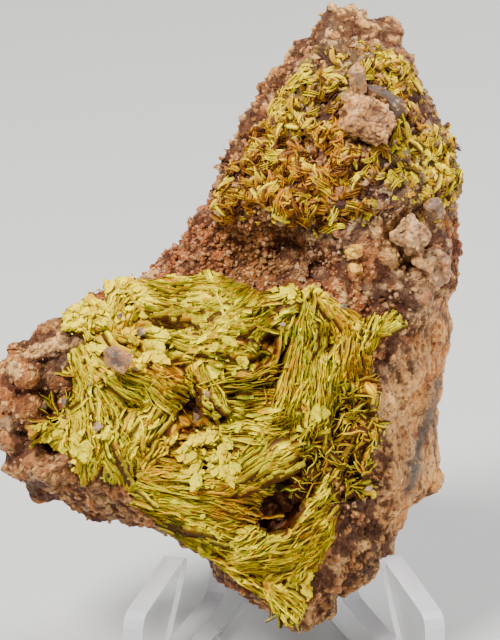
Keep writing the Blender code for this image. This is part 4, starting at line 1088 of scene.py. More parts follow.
def grow_ribbons(plates, inside):
    """Bundles of overlapping plates whose smooth faces show."""
    draw = plates.draw
    for across, up, to_across, to_up, height, lean, colour in RIBBONS:
        heading = math.atan2(to_up - up, to_across - across)
        length = math.hypot(to_up - up, to_across - across)
        for _ in range(int(3 + length * 0.9)):
            place = draw.uniform(0.0, 0.7) * length
            centre = ahead(across, up, heading, place)
            start = ahead(*centre, heading + math.pi / 2, draw.normal(0, 0.45))
            turn = heading + draw.normal(0, 0.12)
            piece = min(length - place, draw.uniform(1.8, 5.0))
            if inside.at(*ahead(*start, turn, piece)) < 0.5:
                continue
            plates.add(*start, turn, piece, 0.35 + draw.uniform(-0.5, 0.2),
                       height * draw.uniform(0.3, 0.8), math.radians(lean + draw.normal(0, 14)),
                       draw.normal(0, 0.4), colour)


def scatter_tree():
    """Geometry nodes that set copies of a template on a surface, thickest where it says."""
    group = bpy.data.node_groups.new("Scatter", "GeometryNodeTree")
    interface = group.interface
    interface.new_socket("Geometry", in_out="INPUT", socket_type="NodeSocketGeometry")
    interface.new_socket("Geometry", in_out="OUTPUT", socket_type="NodeSocketGeometry")
    for name, kind in (
            ("Template", "Object"), ("Share", "String"), ("Density", "Float"),
            ("Smallest", "Float"), ("Largest", "Float"), ("Tilt", "Float"), ("Swirl", "Float"),
            ("Seed", "Int"), ("Finish", "Material")):
        interface.new_socket(name, in_out="INPUT", socket_type="NodeSocket" + kind)
    tree = Tree(group)
    surface = tree.node("NodeGroupInput", out="Geometry")
    given = {item.name: tree.other(surface, item.name)
             for item in interface.items_tree if item.in_out == "INPUT"}

    def chance(step, low=0.0, high=1.0):
        """A random value for each copy, with a seed of its own."""
        return tree.node("FunctionNodeRandomValue", {"data_type": "FLOAT"}, {
            2: low, 3: high, "Seed": given["Seed"] + step}, out=1)

    share = tree.node("GeometryNodeInputNamedAttribute", {"data_type": "FLOAT"},
                      {"Name": given["Share"]})
    points = tree.node("GeometryNodeDistributePointsOnFaces", {}, {
        "Mesh": surface, "Density": share * given["Density"], "Seed": given["Seed"]})
    size = given["Smallest"] + (given["Largest"] - given["Smallest"]) * chance(1) ** 2.2
    lean = chance(2, given["Tilt"] * -1, given["Tilt"])
    spin = chance(3, given["Swirl"] * -1, given["Swirl"])
    flow = tree.node("ShaderNodeTexNoise", {}, {"Scale": 1.0 / (4.0 * MM), "Detail": 1.0})
    angles = tree.node("ShaderNodeCombineXYZ", {}, {
        0: lean, 1: lean * 0.6, 2: spin + flow * 12.0})
    local = tree.node("FunctionNodeEulerToRotation", {}, {0: angles})
    facing = tree.node("FunctionNodeRotateRotation", {"rotation_space": "LOCAL"}, {
        0: tree.other(points, "Rotation"), 1: local})
    template = tree.node("GeometryNodeObjectInfo", {}, {"Object": given["Template"]},
                         out="Geometry")
    scale = tree.node("ShaderNodeCombineXYZ", {}, {0: size, 1: size, 2: size})
    copies = tree.node("GeometryNodeInstanceOnPoints", {}, {
        "Points": points, "Instance": template, "Rotation": facing, "Scale": scale})
    copies = tree.node("GeometryNodeStoreNamedAttribute",
                       {"data_type": "FLOAT", "domain": "INSTANCE"},
                       {"Geometry": copies, "Name": "shade", "Value": chance(4)})
    real = tree.node("GeometryNodeRealizeInstances", {}, {"Geometry": copies})
    dressed = tree.node("GeometryNodeSetMaterial", {}, {
        "Geometry": real, "Material": given["Finish"]})
    tree.node("NodeGroupOutput", {}, {"Geometry": dressed})
    return group


def scatter(name, surface, template, share, density, sizes, tilt, seed, finish, smooth=False):
    """A piece made of copies of a template mesh on a surface mesh, turned any way round.

    Its share is the attribute that says where they are thickest, its density the most of them
    on a square millimetre, its sizes the smallest and the largest in millimetres.
    """
    group = bpy.data.node_groups.get("Scatter") or scatter_tree()
    shape = new_piece(name + "_template", template, smooth=smooth)
    piece = new_piece(name, surface.copy())
    modifier = piece.modifiers.new("scatter", "NODES")
    modifier.node_group = group
    values = {
        "Template": shape, "Share": share, "Density": density / MM ** 2,
        "Smallest": sizes[0] * MM, "Largest": sizes[1] * MM, "Tilt": tilt, "Swirl": FULL_SWIRL,
        "Seed": seed, "Finish": finish,
    }
    for item in group.interface.items_tree:
        if item.name in values:
            modifier[item.identifier] = values[item.name]
    result = settle(piece)
    bpy.data.objects.remove(shape)
    if not smooth:
        result.shade_flat()
    if not len(result.polygons):
        raise RuntimeError(f"{name} came out empty")
    return piece


def quartz_point():
    """A six-sided quartz point of unit width that stands on its foot."""
    bm = bmesh.new()
    ring = [(0.5 * math.cos(k * math.pi / 3), 0.5 * math.sin(k * math.pi / 3)) for k in range(6)]
    foot = [bm.verts.new((x, y, -0.4)) for x, y in ring]
    waist = [bm.verts.new((x, y, 0.45 + 0.06 * (k % 2))) for k, (x, y) in enumerate(ring)]
    peak = bm.verts.new((0.05, 0.03, 0.95))
    bm.faces.new(foot[::-1])
    for k in range(6):
        other = (k + 1) % 6
        bm.faces.new([foot[k], foot[other], waist[other], waist[k]])
        bm.faces.new([waist[k], waist[other], peak])
    return closed_mesh("quartz_point", bm)


def crumb(seed, flatness=0.8, corners=11):
    """A small angular grain of about unit size."""
    draw = np.random.default_rng(seed)
    bm = bmesh.new()
    for place in draw.normal(0, 1, (corners, 3)):
        x, y, z = place / np.linalg.norm(place) * 0.5 * draw.uniform(0.85, 1.1)
        bm.verts.new((x, y, z * flatness))
    hull = bmesh.ops.convex_hull(bm, input=bm.verts[:])
    loose = [item for item in hull["geom_unused"] if isinstance(item, bmesh.types.BMVert)]
    bmesh.ops.delete(bm, geom=loose, context="VERTS")
    return closed_mesh("crumb", bm)


def flake(seed, sheets=2, corners=9, step=0.085):
    """A few thin, slightly bent sheets with angular outlines, stacked, of about unit width."""
    draw = np.random.default_rng(seed)
    bm = bmesh.new()
    for sheet in range(sheets):
        size = 0.55 - 0.14 * sheet
        turn = draw.uniform(0, 6)
        shift = draw.uniform(-1.5, 1.5, 2) * step * sheet
        rise = step * sheet
        angles = (np.arange(corners) + draw.uniform(-0.35, 0.35, corners)) * 2 * math.pi / corners
        reach = draw.uniform(0.42, 1.15, corners) * size
        rim = [(r * math.cos(a), 0.72 * r * math.sin(a)) for r, a in zip(reach, angles)]
        rim = [(x * math.cos(turn) - y * math.sin(turn) + shift[0],
                x * math.sin(turn) + y * math.cos(turn) + shift[1]) for x, y in rim]
        bend = [0.30 * x * x - 0.12 * y + rise for x, y in rim]
        upper = [bm.verts.new((x, y, z + 0.055)) for (x, y), z in zip(rim, bend)]
        lower = [bm.verts.new((x, y, z)) for (x, y), z in zip(rim, bend)]
        middle = bm.verts.new((*shift, rise + 0.065 - 0.12 * shift[1]))
        under = bm.verts.new((*shift, rise - 0.12 * shift[1]))
        for k in range(corners):
            other = (k + 1) % corners
            bm.faces.new([upper[k], upper[other], middle])
            bm.faces.new([lower[other], lower[k], under])
            bm.faces.new([lower[k], lower[other], upper[other], upper[k]])
    return closed_mesh("flake", bm)


def tuft(leaves, seed):
    """Thin curved leaves that stand on edge and spread like pages, of about unit length."""
    draw = np.random.default_rng(seed)
    stations, levels = 5, 2
    points = []
    stages = []
    for leaf in range(leaves):
        side_on = leaf - (leaves - 1) / 2
        turn = side_on * 0.07 + draw.uniform(-0.06, 0.06)
        bend = 0.28 + draw.uniform(-0.05, 0.05)
        length = draw.uniform(0.75, 1.1)
        tall = draw.uniform(0.30, 0.46)
        for s, level, side in np.ndindex(stations, levels, 2):
            t = s / (stations - 1)
            height = level * tall * (1 - 0.5 * (1.6 * t - 0.8) ** 2) - 0.12
            y = bend * t * t + side_on * (0.055 + 0.16 * height)
            y += (2 * side - 1) * (0.020 - 0.008 * level)
            x = t * length
            points.append((x * math.cos(turn) - y * math.sin(turn) - 0.5,
                           x * math.sin(turn) + y * math.cos(turn), height))
            stages.append(level)
    size = stations * levels * 2
    faces = np.concatenate([plate_faces(stations, levels) + size * leaf for leaf in range(leaves)])
    mesh = mesh_of("tuft", np.array(points), faces)
    store(mesh, "level", stages)
    return turned_out(mesh)


def rock_finish():
    """Granular rock: grains of quartz and feldspar, with painted shade in its crevices, with glints."""
    finish = Finish("granular_rock")
    grain = finish.attribute("grain")
    sheared = finish.attribute("sheared")
    lumpy = 1 - sheared * 0.85
    finish.above("grey", grain, 0.62, 0.74, lumpy * 0.7)
    finish.above("pale", grain, 0.84, 0.92, lumpy * 0.7)
    finish.below("rust", grain, 0.10, 0.26, lumpy * 0.55)
    along = finish.stretched(finish.place, (1.0, 1.0, 0.18), (LEAN, 0.0, 0.25))
    streak = finish.cloud(1.3 * MM, 5.0, along)
    finish.above("pale", streak, 0.48, 0.60, sheared * 0.75)
    finish.below("rust", streak, 0.36, 0.46, sheared * 0.7)
    patch = finish.cloud(4.5 * MM, 4.0)
    finish.above("grey", patch, 0.54, 0.66, 0.5)
    finish.below("dark", patch, 0.32, 0.44, lumpy * 0.5)
    sugar = finish.speckle(0.55 * MM)
    fine = finish.speckle(0.26 * MM)
    finish.above("pale", sugar, 0.78, 0.88, 0.65)
    finish.below("dark", sugar, 0.16, 0.30, 0.6)
    finish.above("pale", fine, 0.2, 0.9, 0.30, "SOFT_LIGHT")
    # painted shade: umber where the skin sinks into crevices
    finish.below("umber", finish.attribute("hollow"), 0.08, 0.42, 0.85)
    finish.lay("slate", finish.attribute("vein") * 0.9)
    edges = finish.cells(0.8 * MM, feature="DISTANCE_TO_EDGE")
    height = edges.between(0.0, 0.30) * 0.4 + fine * 0.35 + finish.cloud(0.40 * MM, 6.0) * 1.1
    rough = 0.82 - fine.between(0.80, 0.86) * 0.50 - grain.between(0.62, 0.74) * 0.15
    return finish.set(
        Roughness=rough, Specular_IOR_Level=0.35, Normal=finish.bump(height, 0.30 * MM))


def druse_finish(name, dullness):
    """Small glassy quartz points or duller grains with a brown stain."""
    finish = Finish(name)
    shade = finish.attribute("shade")
    finish.above("grey", shade, 0.4, 1.0, 0.35)
    finish.above("pale", shade, 0.90, 0.98, 0.25)
    finish.below("sienna", shade, 0.05, 0.60, 0.6)
    return finish.set(
        Roughness=dullness + finish.cloud(0.4 * MM) * 0.25, Specular_IOR_Level=0.4)


def plate_finish(name, fineness, root=0.20, crest=0.86):
    """Pearly plates: laminated along their length, umber towards the root, partly a brown stain and
    partly painted shade between the plates.
    """
    finish = Finish(name)
    strand = finish.attribute("strand", "Vector")
    streak = finish.cloud(1.0, 3.0, finish.stretched(strand, (0.35, fineness, 1.0)))
    patch = finish.cloud(1.0, 2.0, finish.stretched(strand, (0.5, 0.8, 1.0)))
    finish.above("yellow", streak, 0.50, 0.60, 0.6)
    finish.above("cream", streak, 0.62, 0.72, 0.6)
    finish.below("olive", streak, 0.38, 0.50, 0.60)
    finish.below("umber", streak, 0.33, 0.45, 0.88)
    finish.above("amber", patch, 0.53, 0.61, 0.60)
    finish.below("green", patch, 0.34, 0.42, 0.55)
    # partly a brown stain, partly painted shade: umber over the lower part of each plate, down between
    # the plates
    finish.below("umber", finish.attribute("level"), root, crest, 0.96)
    return finish.set(
        Roughness=0.5 + streak * 0.25, Specular_IOR_Level=0.12,
        Normal=finish.bump(streak, 0.12 * MM))


def filling_finish():
    """What lies between the crust's blades: dark, crumbly, with specks of crystal. Its darkness is
    partly its own colour and partly painted shade between the blades, deepest in its low places.
    """
    finish = Finish("crust_filling")
    fine = finish.speckle(0.35 * MM)
    # partly its own dark colour, partly painted shade down between the blades
    finish.lay("dark", 0.85)
    finish.above("clay", fine, 0.70, 0.85, 0.5)
    finish.below("dark", fine, 0.1, 0.3, 0.6)
    # painted shade: umber in the low places of the filling
    finish.below("umber", finish.attribute("level"), 0.2, 0.95, 0.9)
    height = finish.cells(0.45 * MM) + finish.cloud(0.5 * MM)
    return finish.set(Roughness=0.8, Normal=finish.bump(height, 0.3 * MM))


def blade_finish():
    """Blades of the crust, each with its own tone of the colour below it."""
    finish = Finish("crust_blade")
    shade = finish.attribute("shade")
    other = shade.math("FRACT", shade * 7.3)
    patch = finish.cloud(0.6 * MM, 2.0)
    finish.lay("gold", 0.35)
    finish.above("amber", other, 0.50, 0.60, 0.45)
    finish.above("yellow", shade, 0.60, 0.85, 0.7)
    finish.above("cream", shade, 0.86, 0.94, 0.9)
    finish.below("umber", shade, 0.15, 0.55, 0.90)
    finish.above("amber", patch, 0.5, 0.7, 0.45)
    # partly the blades' own brown, partly painted shade: umber towards the foot of each blade, down
    # among the others
    finish.below("umber", finish.attribute("level"), 0.3, 1.0, 0.97)
    return finish.set(
        Roughness=0.4 + patch * 0.25, Specular_IOR_Level=0.2,
        Normal=finish.bump(finish.cloud(0.25 * MM), 0.04 * MM, 0.7))


def flake_finish(name, duller):
    """Pale loose flakes that lie face up and catch the light, the duller ones of a given colour."""
    finish = Finish(name)
    shade = finish.attribute("shade")
    patch = finish.cloud(0.7 * MM, 4.0)
    finish.lay("cream", shade * 0.6)
    finish.below(duller, shade, 0.1, 0.6, 0.7)
    finish.above("gold", patch, 0.54, 0.62, 0.6)
    finish.below("olive", patch, 0.36, 0.44, 0.6)
    return finish.set(
        Roughness=0.45 + patch * 0.3, Specular_IOR_Level=0.15,
        Normal=finish.bump(finish.cloud(0.4 * MM, 5.0), 0.16 * MM, 0.9))


def crystal_finish(name, main, second, stain=0.0, pitted=0.0):
    """Cloudy quartz or feldspar of two colours, with a share of the rock's stain, and pits darkened
    with painted shade.
    """
    finish = Finish(name, painted=False)
    cloud = finish.cloud(1.6 * MM, 4.0)
    finish.base = finish.mix(cloud.between(0.40, 0.62), palette(main), palette(second))
    if stain:
        finish.base = finish.mix(stain, finish.base, finish.attribute("tint", "Color"))
    specks = finish.speckle(0.5 * MM)
    finish.above("pale", specks, 0.85, 0.92, 0.4)
    finish.below("sienna", specks, 0.10, 0.22, 0.5)
    finish.below("dark", finish.cloud(0.8 * MM, 4.0), 0.38, 0.48, 0.7)
    if pitted:
        # painted shade: umber in the pits of the skin; paler where the skin stands highest
        pits = finish.attribute("relief")
        finish.below("umber", pits, 0.15, 0.50, pitted)
        finish.above("pale", pits, 0.62, 0.80, 0.5)
    height = finish.cloud(0.35 * MM, 5.0) + finish.cells(0.7 * MM) * 0.6
    return finish.set(
        Roughness=0.25 + cloud * 0.4, Specular_IOR_Level=0.35,
        Subsurface_Weight=0.08, Subsurface_Radius=(0.002, 0.0014, 0.001), Subsurface_Scale=0.4,
        Normal=finish.bump(height, 0.16 * MM, 0.9))


def acrylic_finish(name, roughness, clearness, colour):
    """Clear acrylic, polished on its faces or frosted on its sawn edges."""
    finish = Finish(name, painted=False)
    scuffs = finish.cloud(2.5 * MM, 6.0)
    return finish.set(
        Base_Color=(*colour, 1.0), Roughness=roughness + scuffs * 0.12, IOR=1.49,
        Transmission_Weight=clearness, Normal=finish.bump(scuffs, 0.02 * MM, 0.3))


def rock_forms(points):
    """Grains, their tones, small grains, ledges, grit and domes at each place of the rock."""
    rows = np.empty((len(points), 6))
    for row, place in zip(rows, points):
        here = Vector(place) / MM
        grit = noise.fractal(here / GRIT, 0.7, 2.1, 4)
        dome = 1.0 - 1.7 * noise.voronoi(here / DOME)[0][0] ** 2
        ledge = noise.noise(Vector((
            here.x / 2.4 + here.z / 15.0, here.y / 3.6 + here.z / 12.0, here.z / 9.0)))
        here = here + noise.noise_vector(here / GRAIN_WARP) * 1.1
        distances, centres = noise.voronoi(here / GRAIN)
        grain = min(1.0, (distances[1] - distances[0]) * 1.7)
        tone = noise.cell(centres[0] * 7.3)
        distances, centres = noise.voronoi(here / SMALL_GRAIN)
        small = min(1.0, (distances[1] - distances[0]) * 1.5) + 0.5 * noise.cell(centres[0] * 5.1)
        row[:] = grain, tone, small, ledge, grit, dome
    return rows.T


class SPECIMEN_OT_rock(bpy.types.Operator):
    """Gives the lump of rock its grains, pits and stains, painted shade in its crevices, and quartz
    points in its hollows
    """

    bl_idname = "specimen.rock"
    bl_label = "Rock"

    SHEARED_TOP = 50.0             # the side of the rock is sheared flat up to this height

    def execute(self, context):
        sizes = context.scene.specimen_sizes
        rock = new_piece("rock_skin", merged_copy("matrix_rock"))
        mesh = shaped(rock, "REMESH", mode="VOXEL", voxel_size=sizes.rock_voxel)
        stain(mesh)
        self.roughen(mesh, sizes.lump_height)
        dress(mesh, rock_finish())
        mesh.shade_smooth()
        druse = scatter("quartz_druse", mesh, quartz_point(), "druse", sizes.druse_density,
                        (0.22, 0.75), 0.9, 4, druse_finish("drusy_quartz", 0.35))
        grains = scatter("quartz_grains", mesh, crumb(3), "druse", 0.10, (0.5, 1.5), 1.5, 9,
                         crystal_finish("grey_quartz_grain", "grey", "clay"))
        crumbs = scatter("rock_crumbs", mesh, crumb(6, 0.7, 7), "crumbs", 0.07, (0.5, 2.0), 1.5, 14,
                         druse_finish("rock_crumb", 0.55))
        hand_in(crumbs, "rock")
        hand_in(rock, "rock", "matrix_rock")
        hand_in(druse, "quartz")
        hand_in(grains, "quartz")
        return {"FINISHED"}

    def roughen(self, mesh, height):
        """Gives the rock's skin its forms, and notes on it what its finish and growth follow."""
        points = points_of(mesh)
        normals = normals_of(mesh)
        facing = normals @ TURN
        across, up, _ = to_stone(points)
        grain, tone, small, ledge, grit, dome = rock_forms(points)
        lumpy = share_at(across, up, LUMPY_SPOTS)
        pitted = share_at(across, up, PITTED_SPOTS)
        sheared = np.clip(facing[:, 0] * 1.6 - 0.3, 0, 1) * (up < self.SHEARED_TOP) * (1 - pitted)
        terrace = ledge * 6
        terrace = (np.floor(terrace) + np.clip((terrace % 1) * 3 - 2, 0, 1)) / 6
        rough = grain * 0.48 + small * 0.14 + grit * 0.32
        rough = rough * (1 - 0.65 * lumpy) + (dome * 2.3 - 0.95) * lumpy
        rough = rough + ((small - 0.72) * 0.9 + grit * 0.25) * pitted
        flat = 0.35 + 0.75 * terrace + 0.20 * grit + small * 0.05
        form = rough * (1 - sheared) + flat * sheared
        swell = sum(spot[3] * bell(across, up, spot) for spot in SWELLS) * MM
        move_points(mesh, points + normals * ((form - 0.35) * height + swell)[:, None])
        width = np.maximum(VEIN_WIDTH * (1.0 + 0.8 * ledge), 0.3)
        vein = np.exp(-(beside_line(across, up, VEIN) / width) ** 2)
        front = np.clip(0.6 - facing[:, 1], 0.12, 1)
        # how far the skin stands out of its crevices; the finish paints shade where this is low
        store(mesh, "hollow", np.clip(form * 1.25 + 0.15 * sheared, 0, 1))
        store(mesh, "grain", tone)
        store(mesh, "vein", vein * (facing[:, 0] > 0.1))
        store(mesh, "sheared", sheared)
        store(mesh, "druse", share_at(across, up, DRUSE_SPOTS) * front)
        store(mesh, "crumbs", np.clip(0.75 + 0.5 * grit, 0.1, 1.0) * (1 - 0.95 * sheared))


class SPECIMEN_OT_fans(bpy.types.Operator):
    """Grows the lower mass of autunite: books of plates, tangles of blades, ribbons and flakes"""

    bl_idname = "specimen.fans"
    bl_label = "Autunite fans"

    def execute(self, context):
        sizes = context.scene.specimen_sizes
        thickness = sizes.plate_thickness / MM
        depth = sizes.plate_depth / MM
        ground = Relief("matrix_rock").out
        crest, covered = growth("autunite_fans", ground, 0.6)
        across, up = np.meshgrid(Relief.ACROSS, Relief.UP)
        for a, b, radius in BARE:
            covered &= np.hypot(across - a, up - b) > radius
        outliers = [np.hypot(across - a, up - b) < radius for a, b, radius in OUTLIERS]
        inside = Relief.of(covered | np.any(outliers, axis=0)).soften(2)
        dips = sum(spot[3] * bell(across, up, spot, 1.4) for spot in HOLLOWS + LOWERED)
        bed = Relief.of(np.maximum(crest.out - 0.9 - dips, ground - 0.6))
        mass = (Relief("autunite_fans", behind=True).spread(12), Relief.of(covered), FAN_PAINT)
        floor = new_piece("fan_bed", sheet_over("fan_bed", bed, *mass, 0.25, laminated),
                          plate_finish("autunite_mass", 2.4))
        plates = PlateList(17)
        grow_books(plates, inside, depth)
        grow_strays(plates, covered, inside, sizes.stray_plates, depth)
        grow_ribbons(plates, inside)
        blades = PlateList(23)
        grow_tangles(blades, inside)
        finish = plate_finish("autunite_plate", 5.0)
        pieces = [new_piece(name, plates.part(above, SPLIT).mesh(name, crest, thickness), finish, False)
                  for name, above in (("fan_plates_upper", True), ("fan_plates_lower", False))]
        # the tangles' blades are umber further up from their roots: partly their own brown, partly
        # painted shade
        pieces.append(new_piece(
            "fan_tangles", blades.mesh("fan_tangles", crest, thickness * 1.2, 0.3),
            plate_finish("autunite_blade", 5.0, 0.45, 1.0), False))
        pale = flake_finish("pale_flake", "lime")
        top = sheet_over("crest", Relief.of(crest.out - 0.1), *mass, flakes=FAN_FLAKE_SPOTS)
        for seed in (2, 5, 8):
            pieces.append(scatter(f"fan_flakes_{seed}", top, flake(seed), "flakes",
                                  sizes.flake_density * 0.7, (0.5, 2.2), 1.0, 12 + seed, pale))
        raised = sheet_over("raised", Relief.of(crest.out + 0.45), *mass, slabs=SLAB_SPOTS)
        pieces.append(scatter("fan_slabs", raised, flake(11, 4, 7, 0.12), "slabs", 0.5,
                              (1.8, 3.8), 0.30, 51, pale))
        hand_in(self.caught_grains(crest), "quartz")
        hand_in(floor, "autunite", "autunite_fans")
        for piece in pieces:
            hand_in(piece, "autunite")
        return {"FINISHED"}

    def caught_grains(self, crest):
        """The single grains of quartz caught in the plates, as one piece."""
        bm = bmesh.new()
        for k, (across, up, size) in enumerate(GRAINS):
            grain = crumb(k + 3)
            place = to_world(across, up, crest.at(across, up) + size * 0.2)
            grain.transform(Matrix.Translation(place) @ Matrix.Scale(size * MM, 4))
            bm.from_mesh(grain)
            bpy.data.meshes.remove(grain)
        mesh = closed_mesh("fan_grains", bm)
        stain(mesh)
        return new_piece("fan_grains", mesh, crystal_finish("fan_grain", "grey", "slate"), False)


class SPECIMEN_OT_crust(bpy.types.Operator):
    """Grows the crust of curled blades and flakes over the upper rock"""

    bl_idname = "specimen.crust"
    bl_label = "Autunite crust"

    def execute(self, context):
        sizes = context.scene.specimen_sizes
        crest, covered = growth("autunite_crust", Relief("matrix_rock").out, 0.4)
        rear = Relief("autunite_crust", behind=True).spread(12)
        mesh = sheet_over("crust_bed", Relief.of(crest.out - 1.4), rear, Relief.of(covered),
                          CRUST_PAINT, 0.3, clustered, blades=BLADE_SPOTS,
                          flakes=CRUST_FLAKE_SPOTS, grains=CRUST_GRAIN_SPOTS)
        floor = new_piece("crust_bed", mesh, filling_finish())
        finish = blade_finish()
        pieces = [scatter(f"crust_blades_{seed}", mesh, tuft(4, seed), "blades",
                          sizes.blade_density, (0.9, 2.5), 1.2, 31 + seed, finish, smooth=True)
                  for seed in (5, 9)]
        pieces.append(scatter("crust_flakes", mesh, flake(8), "flakes", sizes.flake_density * 3.0,
                              (0.5, 2.0), 1.2, 37, flake_finish("golden_flake", "amber")))
        grains = scatter("crust_grains", mesh, crumb(5), "grains", 1.7, (0.5, 1.9), 1.5, 41,
                         crystal_finish("crust_grain", "grey", "clay"))
        hand_in(grains, "quartz")
        hand_in(floor, "autunite_blades", "autunite_crust")
        for piece in pieces:
            hand_in(piece, "autunite_blades")
        return {"FINISHED"}


class SPECIMEN_OT_crystals(bpy.types.Operator):
    """Dresses the larger quartz crystals and the feldspar chunks"""

    bl_idname = "specimen.crystals"
    bl_label = "Crystals and chunks"

    BURIED_SHOWN = 0.82            # the left crystal is sunk in the plates, and shows smaller
    CHUNK_VOXEL = 0.16

    def execute(self, context):
        quartz = crystal_finish("grey_quartz", "tan", "slate", 0.2)
        smoky = crystal_finish("smoky_quartz", "slate", "dark")
        pale = crystal_finish("pale_quartz", "grey", "pink", 0.4, 0.5)
        feldspar = crystal_finish("sugary_feldspar", "pink", "clay", 0.2, 0.8)
        golden = crystal_finish("golden_grain", "ochre", "gold", 0.0, 0.6)
        for node in sorted(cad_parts):
            if node.startswith("quartz_crystal"):
                finish = smoky if node.endswith("smoky") else quartz
                hand_in(self.crystal(node, finish), "quartz", node)
            elif node.startswith("quartz_knob"):
                hand_in(self.chunk(node, pale, 0.30, 0.9), "quartz", node)
            elif node.startswith("feldspar"):
                hand_in(self.chunk(node, feldspar, 0.45, 0.3), "feldspar", node)
            elif node.startswith("tan"):
                hand_in(self.chunk(node, golden, 0.30, 0.3), "feldspar", node)
        return {"FINISHED"}

    def crystal(self, node, finish):
        """A crystal with softened edges."""
        piece = new_piece(node + "_polished", merged_copy(node), finish, smooth=False)
        mesh = shaped(piece, "BEVEL", width=0.16 * MM, segments=2, limit_method="ANGLE",
                      angle_limit=math.radians(25.0))
        stain(mesh)
        if node.endswith("left"):
            points = points_of(mesh)
            foot = points.mean(axis=0) + STONE_TURN @ Vector((0.0, 0.5 * MM, 0.0))
            move_points(mesh, foot + (points - foot) * self.BURIED_SHOWN)
        return piece

    def chunk(self, node, finish, height, swell):
        """A chunk with a sugary skin of some height, on wider swells."""
        piece = new_piece(node + "_grained", merged_copy(node), finish)
        mesh = shaped(piece, "REMESH", mode="VOXEL", voxel_size=self.CHUNK_VOXEL * MM)
        stain(mesh)
        points = points_of(mesh)
        heights = np.empty(len(points))
        lumps = np.empty(len(points))
        for k, place in enumerate(points):
            here = Vector(place) / MM
            distances = noise.voronoi(here / 0.8)[0]
            heights[k] = 0.7 * min(1.0, (distances[1] - distances[0]) * 1.6) - 0.4
            heights[k] += 0.9 * noise.fractal(here / 1.9, 0.8, 2.1, 4)
            lumps[k] = 1.2 * noise.noise(here / 2.6) + 0.5 * noise.noise(here / 1.2)
        rise = (heights * height + lumps * swell) * MM
        move_points(mesh, points + normals_of(mesh) * rise[:, None])
        store(mesh, "relief", np.clip(heights * 0.7 + 0.55, 0.0, 1.0))
        mesh.shade_smooth()
        return piece


class SPECIMEN_OT_easel(bpy.types.Operator):
    """Polishes the clear easel and frosts its sawn edges"""

    bl_idname = "specimen.easel"
    bl_label = "Easel"

    def execute(self, context):
        piece = new_piece("easel", merged_copy("acrylic_stand"), smooth=False)
        mesh = shaped(piece, "BEVEL", width=0.35 * MM, segments=3, limit_method="ANGLE",
                      angle_limit=math.radians(40.0))
        dress(mesh, acrylic_finish("clear_acrylic", 0.03, 1.0, (0.97, 0.98, 0.985)),
              acrylic_finish("frosted_acrylic", 0.42, 0.75, (0.90, 0.90, 0.93)))
        flats = [Vector((math.cos(PLATE_TURN), way * math.sin(PLATE_TURN), 0.0)) for way in (-1, 1)]
        for face in mesh.polygons:
            polished = any(abs(face.normal @ flat) > 0.95 for flat in flats)
            face.material_index = 0 if polished else 1
        hand_in(piece, "acrylic", "acrylic_stand")
        return {"FINISHED"}


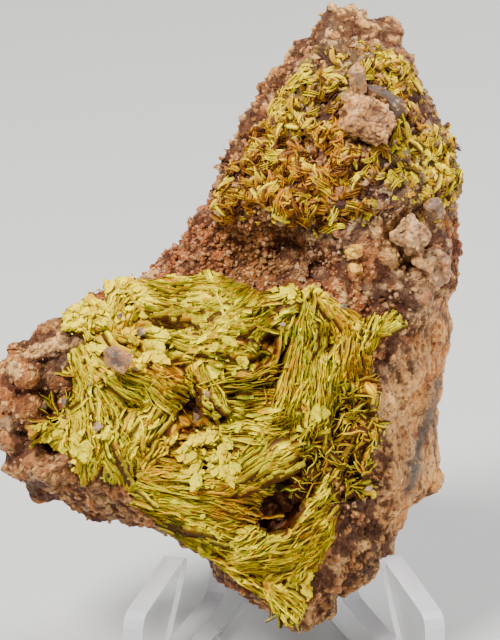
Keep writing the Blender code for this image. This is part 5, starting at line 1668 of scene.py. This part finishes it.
class SPECIMEN_OT_stage(bpy.types.Operator):
    """Sets the pale floor, the soft lights and the camera"""

    bl_idname = "specimen.stage"
    bl_label = "Stage"

    FLOOR_SIZE = 4.0
    FLOOR_DROP = 0.0002
    VIEW_MIDDLE = 45.5             # height on the stone's face that the camera looks at
    VIEW_DISTANCE = 0.7
    VIEW_HEIGHT = 0.0920
    SENSOR = 36.0
    LIGHTS = (                     # name, place, size, power, colour
        ("key", (-0.34, -0.40, 0.72), 0.30, 18.5, (1.0, 0.98, 0.93)),
        ("fill", (0.75, -0.36, 0.30), 0.4, 7.0, (1.0, 0.98, 0.95)),
        ("top", (0.12, 0.10, 0.80), 0.35, 6.0, (1.0, 1.0, 1.0)),
        ("rim", (0.45, 0.55, 0.35), 0.35, 2.6, (1.0, 0.99, 0.97)),
    )

    def execute(self, context):
        middle = Vector(to_world(0.0, self.VIEW_MIDDLE, 0.0))
        self.floor()
        for name, place, size, power, colour in self.LIGHTS:
            data = bpy.data.lights.new(name, "AREA")
            data.shape = "DISK"
            data.size = size
            data.energy = power
            data.color = colour
            self.aimed(context, name, data, Vector(place), middle - Vector(place))
        world = bpy.data.worlds.new("soft_room")
        world.use_nodes = True
        glow = world.node_tree.nodes["Background"].inputs
        glow["Color"].default_value = (0.80, 0.80, 0.80, 1.0)
        glow["Strength"].default_value = 0.20
        context.scene.world = world
        data = bpy.data.cameras.new("camera")
        data.sensor_width = self.SENSOR
        data.lens = self.SENSOR * self.VIEW_DISTANCE / self.VIEW_HEIGHT
        data.clip_start = 0.01
        back = STONE_TURN @ Vector((0, -1, 0))
        context.scene.camera = self.aimed(
            context, "camera", data, middle + back * self.VIEW_DISTANCE, -back)
        return {"FINISHED"}

    def floor(self):
        """A pale floor, just under the easel."""
        finish = Finish("pale_floor", painted=False)
        finish.base = finish.mix(
            finish.cloud(0.05, 4.0) * 0.25, (0.52, 0.52, 0.52), (0.47, 0.47, 0.47))
        bm = bmesh.new()
        bmesh.ops.create_grid(bm, x_segments=2, y_segments=2, size=self.FLOOR_SIZE)
        floor = new_piece("floor", closed_mesh("floor", bm), finish.set(Roughness=0.6))
        floor.location.z = -self.FLOOR_DROP

    def aimed(self, context, name, data, place, heading):
        """An object for a light or a camera, at a place and turned to a heading."""
        item = bpy.data.objects.new(name, data)
        context.scene.collection.objects.link(item)
        item.location = place
        item.rotation_euler = heading.to_track_quat("-Z", "Y").to_euler()
        return item


class SPECIMEN_PT_panel(bpy.types.Panel):
    """Lists the steps that dress the specimen"""

    bl_label = "Specimen"
    bl_idname = "SPECIMEN_PT_panel"
    bl_space_type = "VIEW_3D"
    bl_region_type = "UI"
    bl_category = "Specimen"

    def draw(self, context):
        for group in (context.scene.specimen_sizes, context.scene.specimen_colours):
            column = self.layout.column()
            for name in group.__annotations__:
                column.prop(group, name)
        for step in STEPS:
            self.layout.operator(step.bl_idname)


STEPS = (
    SPECIMEN_OT_stage, SPECIMEN_OT_rock, SPECIMEN_OT_fans, SPECIMEN_OT_crust,
    SPECIMEN_OT_crystals, SPECIMEN_OT_easel,
)
CLASSES = (SpecimenColours, SpecimenSizes, *STEPS, SPECIMEN_PT_panel)


def register():
    """Makes the steps and their settings known to Blender."""
    for item in CLASSES:
        bpy.utils.register_class(item)
    bpy.types.Scene.specimen_colours = PointerProperty(type=SpecimenColours)
    bpy.types.Scene.specimen_sizes = PointerProperty(type=SpecimenSizes)


def unregister():
    """Takes back what register did."""
    del bpy.types.Scene.specimen_sizes
    del bpy.types.Scene.specimen_colours
    for item in reversed(CLASSES):
        bpy.utils.unregister_class(item)


def main():
    """Dresses the whole specimen."""
    register()
    bpy.ops.specimen.stage()
    bpy.ops.specimen.rock()
    bpy.ops.specimen.fans()
    bpy.ops.specimen.crust()
    bpy.ops.specimen.crystals()
    bpy.ops.specimen.easel()
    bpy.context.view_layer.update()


if __name__ == "__main__":
    main()
